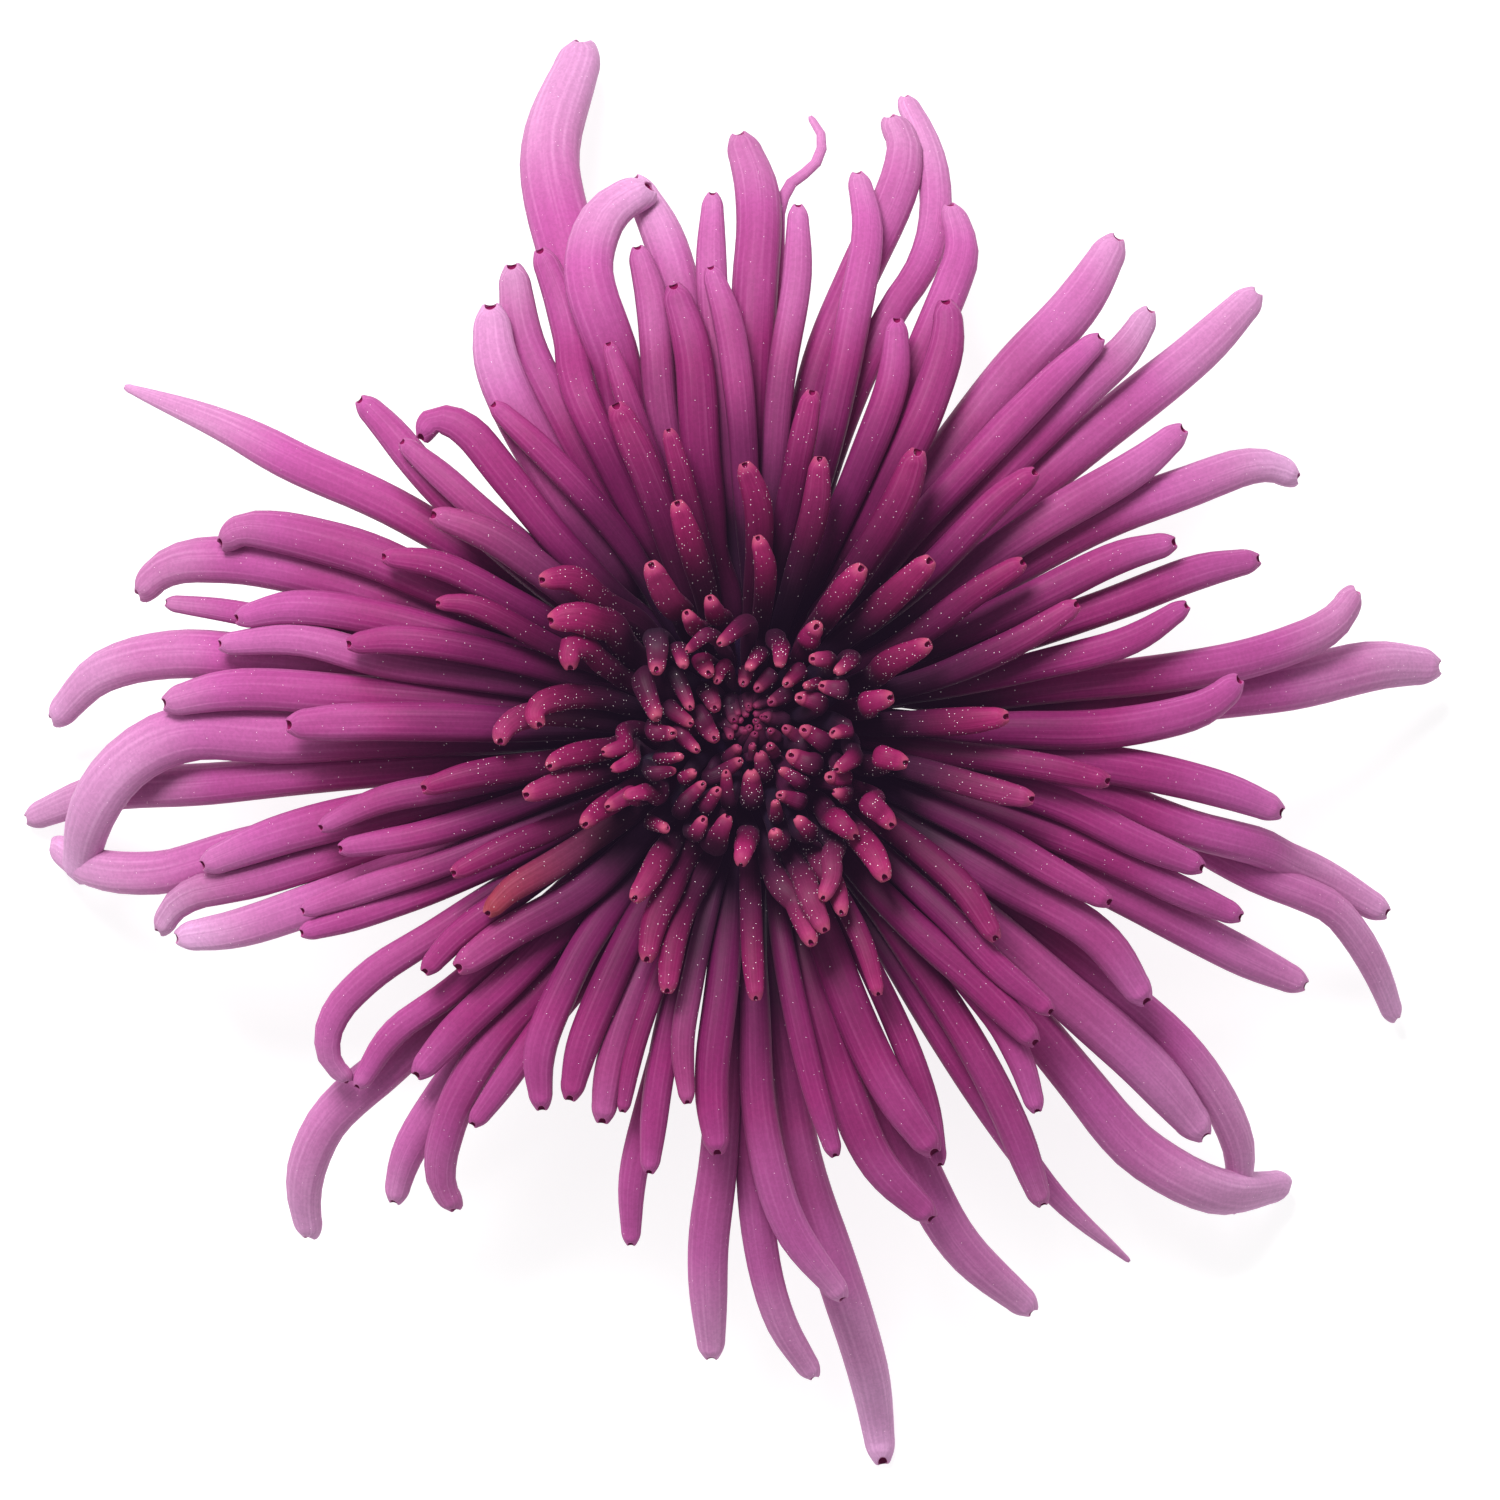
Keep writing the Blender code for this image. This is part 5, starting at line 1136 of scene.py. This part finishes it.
        # a tip that meets the table lies flat on it
        corners[:, 2] = np.clip(corners[:, 2], 0.0, CAD_BOX[1][2])
        mesh = bpy.data.meshes.new(self.name)
        mesh.from_pydata(corners.tolist(), [], self.faces)
        for name, blocks in self.values.items():
            attribute = mesh.attributes.new(name, "FLOAT", "POINT")
            attribute.data.foreach_set("value", np.concatenate(blocks).astype(np.float32))
        layer = mesh.uv_layers.new(name="skin")
        sheet = np.concatenate(self.sheet)
        loops = np.zeros(len(mesh.loops), dtype=np.int32)
        mesh.loops.foreach_get("vertex_index", loops)
        uv = sheet[loops]
        for face in mesh.polygons:
            us = uv[face.loop_start:face.loop_start + face.loop_total, 0]
            if us.max() - us.min() > 0.5:
                us[us < 0.5] += 1.0
        layer.data.foreach_set("uv", uv.astype(np.float32).reshape(-1))
        mesh.materials.append(material)
        mesh.update()
        mesh.shade_smooth()
        return register(self.name, mesh, self.node)


def register(name: str, mesh: bpy.types.Mesh, node: str) -> bpy.types.Object:
    """Put a finished mesh in the scene as a piece that stands for a solid.

    Args:
        name: The piece's name.
        mesh: Its mesh, in place.
        node: The solid that it replaces.

    Returns:
        The new object.
    """
    piece = bpy.data.objects.new(name, mesh)
    bpy.context.scene.collection.objects.link(piece)
    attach(piece, "root")
    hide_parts(node)
    LOG.info("%s: %d faces", name, len(mesh.polygons))
    return piece


@dataclass
class Turned:
    """A round piece: a ball whose rings are carried out to an outline.

    The outline runs through pairs of radius and height, from the middle of the underside round to
    the middle of the top.
    """

    name: str
    stops: tuple
    rings: int = 33
    sides: int = 64
    ribs: int = 0
    rib_depth: float = 0.0
    pith_radius: float = 0.0       # the pale pith at a cut end, or 0 where nothing is cut
    cut_height: float = 0.06       # what lies lower than this is the cut

    def mesh(self) -> bpy.types.Mesh:
        """Model the piece.

        Returns:
            Its mesh in millimetres, in place.
        """
        outline = by_length(np.asarray(self.stops, dtype=float), self.rings)
        bpy.ops.object.select_all(action="DESELECT")
        bpy.ops.mesh.primitive_uv_sphere_add(segments=self.sides, ring_count=self.rings - 1, radius=1.0)
        ball = bpy.context.object
        mesh = ball.data
        for vert in mesh.vertices:
            polar = math.acos(max(-1.0, min(1.0, -vert.co.z)))
            radius, height = outline[round(polar / math.pi * (self.rings - 1))]
            angle = math.atan2(vert.co.y, vert.co.x)
            out = radius * (1.0 + self.rib_depth * math.cos(self.ribs * angle))
            vert.co = (HEART[0] + out * math.cos(angle), HEART[1] + out * math.sin(angle), height)
        bpy.data.objects.remove(ball)
        return mesh

    def paleness(self, mesh: bpy.types.Mesh) -> np.ndarray:
        """How pale the piece is at each corner: the pith most, the rest of a cut by half.

        Args:
            mesh: The piece in millimetres.

        Returns:
            The shares, in the order of its corners.
        """
        corners = np.array([vert.co[:] for vert in mesh.vertices])
        off = np.hypot(corners[:, 0] - HEART[0], corners[:, 1] - HEART[1])
        is_cut = (corners[:, 2] < self.cut_height) & (self.pith_radius > 0.0)
        return np.where(off < self.pith_radius, 1.0, 0.45) * is_cut

    def piece(self, material: bpy.types.Material, node: str, slot: str) -> bpy.types.Object:
        """Model the piece and put it in the scene.

        Args:
            material: Its skin.
            node: The solid that it replaces.
            slot: The record's material slot; not used.

        Returns:
            The new object.
        """
        mesh = self.mesh()
        attribute = mesh.attributes.new("pale", "FLOAT", "POINT")
        attribute.data.foreach_set("value", self.paleness(mesh).astype(np.float32))
        mesh.transform(Matrix.Scale(MM, 4))
        mesh.materials.append(material)
        mesh.shade_smooth()
        return register(self.name, mesh, node)


@dataclass
class BractCup:
    """The green cup: a turned core with rows of thin pointed scales, papery at their edges."""

    rows: int = 3
    in_row: int = 12
    lengths: tuple = (6.5, 8.6, 10.6)
    width: float = 3.7
    thickness: float = 0.42
    seed: int = 21

    def pattern(self) -> tuple[np.ndarray, list]:
        """Model one flat bract of unit size: a ring-cut sheet, thickened and rounded.

        Returns:
            Its corners as across (-1 to 1), along (0 to 1) and thickness (0 to 1), and its faces.
        """
        bpy.ops.object.select_all(action="DESELECT")
        bpy.ops.mesh.primitive_grid_add(x_subdivisions=10, y_subdivisions=16, size=2.0)
        scale = bpy.context.object
        thick = scale.modifiers.new("thick", "SOLIDIFY")
        thick.thickness = 1.0
        thick.offset = 0.0
        bpy.ops.object.modifier_apply(modifier=thick.name)
        corners = np.array([vert.co[:] for vert in scale.data.vertices])
        faces = [tuple(face.vertices) for face in scale.data.polygons]
        bpy.data.objects.remove(scale)
        corners[:, 1] = 0.5 + 0.5 * corners[:, 1]
        corners[:, 2] += 0.5
        return corners, faces

    def place(self, corners: np.ndarray, row: int, bearing: float, rng: np.random.Generator) -> np.ndarray:
        """Lay the bract on the cup's side.

        Args:
            corners: The unit bract's corners.
            row: 0 for the lowest row.
            bearing: Where round the cup it stands.
            rng: Source of small differences.

        Returns:
            Its corners in millimetres.
        """
        across, share, lift = corners.T
        length = self.lengths[row] * rng.uniform(0.93, 1.0)
        low_radius = STEM_RADIUS + 0.6 + 1.7 * row
        low = STEM_TOP + 0.9 + 1.5 * row
        run = share * length
        radius = np.minimum(low_radius + run * (0.86 - 0.30 * share), CUP_RADIUS + 0.35 + 0.35 * row)
        height = np.minimum(low + run * (0.42 + 0.28 * share), CUP_RIM - 0.3 - 0.4 * (2 - row))
        point = np.sqrt(np.clip(1.0 - share**3.2, 0.0, 1.0))
        half = 0.5 * self.width * (0.72 + 0.45 * share) * point
        turn = across * half / radius
        keel = 0.5 * np.exp(-((across / 0.16) ** 2)) * lift
        thin = 1.0 - 0.75 * np.abs(across) ** 2.5
        wrap = 0.28 * across**2 * (1 - share)
        outer = radius + self.thickness * (lift - 0.35) * thin * 1.6 + 0.16 * keel - wrap
        angle = bearing + turn
        return np.stack(
            (HEART[0] + outer * np.cos(angle), HEART[1] + outer * np.sin(angle), height), axis=1
        )

    def build(self, finish: GreenFinish) -> list:
        """Model the cup and its scales.

        Args:
            finish: Their skin.

        Returns:
            The new pieces.
        """
        rng = np.random.default_rng(self.seed)
        material = finish.material()
        under = HEAD_BASE - 0.3
        stops = (
            (0.0, STEM_TOP + 0.3), (STEM_RADIUS + 0.7, STEM_TOP + 0.3), (5.6, 12.4), (8.0, 14.6),
            (8.9, 16.4), (8.3, HEAD_BASE + 0.5), (5.7, under - 0.1), (0.0, under),
        )
        core = Turned("cup_core", stops).piece(material, "involucre", "bract_green")
        unit, unit_faces = self.pattern()
        edge = np.clip((np.abs(unit[:, 0]) - 0.55) / 0.45, 0, 1) * 0.8
        corners = []
        faces = []
        for row in range(self.rows):
            for index in range(self.in_row):
                bearing = 2 * math.pi * (index + 0.5 * (row % 2) + 0.2 * row) / self.in_row
                start = len(unit) * len(corners)
                corners.append(self.place(unit, row, bearing + rng.uniform(-0.03, 0.03), rng))
                faces.extend(tuple(start + corner for corner in face) for face in unit_faces)
        mesh = bpy.data.meshes.new("bracts")
        mesh.from_pydata((np.concatenate(corners) * MM).tolist(), [], faces)
        attribute = mesh.attributes.new("pale", "FLOAT", "POINT")
        attribute.data.foreach_set("value", np.tile(edge, len(corners)).astype(np.float32))
        mesh.materials.append(material)
        mesh.shade_smooth()
        return [core, register("bracts", mesh, "involucre")]


@dataclass
class Stalk:
    """The cut flower stalk: ribbed along its length, pale and pithy at the cut."""

    sides: int = 96
    ribs: int = 9
    rib_depth: float = 0.022
    rind: float = 0.7

    def build(self, finish: GreenFinish) -> bpy.types.Object:
        """Model the stalk.

        Args:
            finish: Its skin.

        Returns:
            The new piece.
        """
        stops = (
            (0.0, 0.0), (1.2, 0.0), (STEM_RADIUS - 0.25, 0.0), (STEM_RADIUS - 0.05, 0.2),
            (STEM_RADIUS, 0.5), (STEM_RADIUS - 0.1, 5.0), (STEM_RADIUS + 0.2, STEM_TOP), (0.0, STEM_TOP),
        )
        stalk = Turned("stalk", stops, 49, self.sides, self.ribs, self.rib_depth, STEM_RADIUS - self.rind)
        return stalk.piece(finish.material(), "stem", "stem_green")


@dataclass
class FlowerHead:
    """The flower head: receptacle, ray florets by age, and the young florets of the heart."""

    pattern: QuillPattern
    bloom: Bloom
    seed: int = 5
    buds: int = 13

    def receptacle(self, material: bpy.types.Material) -> bpy.types.Object:
        """Model the domed receptacle that carries the florets.

        Args:
            material: Its skin.

        Returns:
            The new piece.
        """
        stops = (
            (0.0, HEAD_BASE), (5.5, HEAD_BASE + 0.1), (8.0, HEAD_BASE + 1.2),
            (HEAD_RADIUS, HEAD_BASE + 3.4), (HEAD_RADIUS - 0.4, HEAD_TOP - 1.2),
            (HEAD_RADIUS - 2.2, HEAD_TOP), (0.0, HEAD_TOP),
        )
        return Turned("receptacle", stops).piece(material, "ray_florets", "ray_petal")

    def young_dome(self, material: bpy.types.Material) -> bpy.types.Object:
        """Model the dome that the centre florets stand on, painted near black: painted shade under them.

        Args:
            material: Its skin.

        Returns:
            The new piece.
        """
        low = HEAD_TOP + CLEARANCE
        stops = (
            (0.0, low), (YOUNG_BASE_RADIUS, low), (YOUNG_BASE_RADIUS, low + 0.8),
            (YOUNG_BASE_RADIUS * 0.72, YOUNG_BASE_TOP - 0.7), (0.0, YOUNG_BASE_TOP),
        )
        return Turned("young_dome", stops, 25, 48).piece(material, "centre_florets", "young_petal")

    def florets(self) -> list:
        """Bend the quill along every middle line and join the quills by age.

        Returns:
            The new pieces.
        """
        rng = np.random.default_rng(self.seed)
        outer = FloretSet("outer_rays", "ray_florets", "ray_petal", self.pattern)
        middle = FloretSet("middle_rays", "ray_florets", "ray_petal", self.pattern)
        inner = FloretSet("inner_rays", "ray_florets", "ray_petal", self.pattern)
        heart = FloretSet("heart_florets", "centre_florets", "young_petal", self.pattern)
        for index, ray in enumerate(RAYS):
            reach = self.bloom.reach[index]
            youth = float(np.clip((36.0 - reach) / 18.0, 0.0, 1.0))
            group = outer if reach > 40.0 else middle if reach > 22.0 else inner
            pale = 0.30 if is_near(ray.tip, PALE_ENDS) else 0.0
            rust = 0.8 if is_near(ray.tip, RUST_ENDS) else 0.0
            skin = Skin(youth, 9.0 + 0.6 * reach, 0.0, pale, rust)
            group.add(self.bloom.paths[index], ray.width, ray.form, skin, rng)
        for index, young in enumerate(CENTRE):
            path = self.bloom.paths[len(RAYS) + index]
            near = float(np.linalg.norm(np.array(young.tip) - SWIRL))
            dull = float(np.clip((4.0 - near) / 2.5, 0.0, 1.0))
            heart.add(path, young.width, Form.YOUNG, Skin(1.0, 6.5, dull), rng)
        for index in range(self.buds):
            bearing = 2.4 * index
            tip_off = 0.35 + 0.075 * index
            tip = SWIRL + tip_off * np.array((math.cos(bearing), math.sin(bearing)))
            out = SWIRL + (tip_off + 1.5) * np.array((math.cos(bearing - 0.5), math.sin(bearing - 0.5)))
            bud = Young(tuple(tip), tuple(out), 0.85)
            heart.add(young_path(bud), bud.width, Form.YOUNG, Skin(1.0, 6.0, 1.0), rng)
        old_skin = RAY_FINISH.material()
        return [
            outer.piece(old_skin), middle.piece(old_skin), inner.piece(old_skin),
            heart.piece(HEART_FINISH.material()),
        ]


# colours from root to tip: the near-black root end is partly darker pigment and partly painted shade of the
# crowded heart
OLD_COLOURS = (
    (0.0, "#1e1026"), (0.10, "#200e24"), (0.18, "#340c28"), (0.29, "#66124a"), (0.42, "#8e2868"),
    (0.62, "#ae5092"), (0.80, "#bc78a8"), (1.0, "#cc95c0"),
)
# young colours from the tip back: the near-black part is partly pigment and partly painted shade between the
# florets
YOUNG_COLOURS = (
    (0.0, "#a02460"), (0.09, "#80124a"), (0.24, "#5c0a36"), (0.38, "#380a26"), (0.56, "#220c1c"),
    (0.85, "#1a1020"),
)
# opened petals: satin, mauve over plum, with a pale bloom towards their ends; the plum by the root is partly
# painted shade
RAY_FINISH = PetalFinish("ray floret skin", OLD_COLOURS, YOUNG_COLOURS)
# petals still folding out: crimson, sprinkled with glands that catch the light and also glow with a painted
# glint
HEART_FINISH = PetalFinish("young floret skin", OLD_COLOURS, YOUNG_COLOURS)
# thin leafy scales: dull green that dries to straw at the edges
BRACT_FINISH = GreenFinish("bract skin", "#3f5a2a", "#6f8a48", "#a99f6a")
# fibrous stalk: fresh green streaks with a soft shine, and pale wet pith where it is cut
STALK_FINISH = GreenFinish("stalk skin", "#5f7f3c", "#86a258", "#dfe2b8", 0.35)
# flesh between the florets: matt, painted near black as painted shade of the gaps, with the faint painted
# glow
RECEPTACLE_SHADE_FINISH = GreenFinish("receptacle painted shade", "#1c1228", "#261a32", "#6f8a48", 0.25, 0.0, DEEP_GLOW)


@dataclass(frozen=True)
class Lamp:
    """A soft box: a square light that looks at the flower."""

    name: str
    place: tuple
    size: float
    watts: float
    colour: str = WHITE

    def set_up(self) -> None:
        """Hang the light and aim it at the flower."""
        data = bpy.data.lights.new(self.name, "AREA")
        data.shape = "SQUARE"
        data.size = self.size
        data.energy = self.watts
        data.color = linear(self.colour)[:3]
        lamp = bpy.data.objects.new(self.name, data)
        lamp.location = self.place
        lamp.rotation_euler = (Vector((0, 0, 0.02)) - Vector(self.place)).to_track_quat("-Z", "Y").to_euler()
        bpy.context.scene.collection.objects.link(lamp)


@dataclass
class Studio:
    """A white table under soft boxes, with the camera straight above the flower.

    The lens is long and far away, so that the drooping outer florets don't look shrunk.
    """

    lens: float = 1400.0
    sensor: float = 36.0
    frame_width: float = 0.125     # metres of table across the picture
    aim: tuple = (0.0015, 0.000417, 0.020)
    table_glow: float = 0.82       # lifts the paper to white, as under a light table
    room_glow: float = 0.32
    lamps: tuple = (
        Lamp("key", (-0.25, 0.65, 0.95), 0.42, 17.0),
        Lamp("left", (-0.9, 0.1, 0.6), 0.6, 2.0),
        Lamp("right", (0.9, -0.2, 0.6), 0.6, 1.0),
    )

    def table(self) -> None:
        """Lay the white table."""
        bpy.ops.object.select_all(action="DESELECT")
        bpy.ops.mesh.primitive_plane_add(size=8.0, location=(0, 0, 0))
        plane = bpy.context.object
        plane.name = "table"
        material, _, shader = new_material("white paper")
        set_values(shader, {
            "Base Color": linear("#a0a0a0"), "Roughness": 0.9,
            "Emission Color": linear(WHITE), "Emission Strength": self.table_glow,
        })
        material.cycles.emission_sampling = "NONE"
        plane.data.materials.append(material)

    def sky(self) -> None:
        """Fill the room with even white light."""
        world = bpy.data.worlds.new("room")
        bpy.context.scene.world = world
        world.use_nodes = True
        set_values(world.node_tree.nodes["Background"], {"Color": linear(WHITE), "Strength": self.room_glow})

    def camera(self) -> None:
        """Set the camera straight above, with the photo's up at the top."""
        data = bpy.data.cameras.new("camera")
        data.lens = self.lens
        data.sensor_width = self.sensor
        data.clip_end = 50.0
        distance = self.frame_width * self.lens / self.sensor
        eye = bpy.data.objects.new("camera", data)
        eye.location = (self.aim[0], self.aim[1], self.aim[2] + distance)
        bpy.context.scene.collection.objects.link(eye)
        bpy.context.scene.camera = eye

    def set_up(self) -> None:
        """Set the table, the lights and the camera."""
        self.table()
        self.sky()
        for lamp in self.lamps:
            lamp.set_up()
        self.camera()
        bpy.context.scene.view_settings.view_transform = "Standard"


def main() -> None:
    """Build the flower and its studio."""
    logging.basicConfig(level=logging.INFO, format="%(message)s")
    bloom = Bloom().lay()
    pattern = QuillPattern().model()
    LOG.info("pattern: %d corners", len(pattern.corners))
    head = FlowerHead(pattern, bloom)
    head.receptacle(RECEPTACLE_SHADE_FINISH.material())
    head.florets()
    head.young_dome(RECEPTACLE_SHADE_FINISH.material())
    BractCup().build(BRACT_FINISH)
    Stalk().build(STALK_FINISH)
    Studio().set_up()


if __name__ == "__main__":
    main()
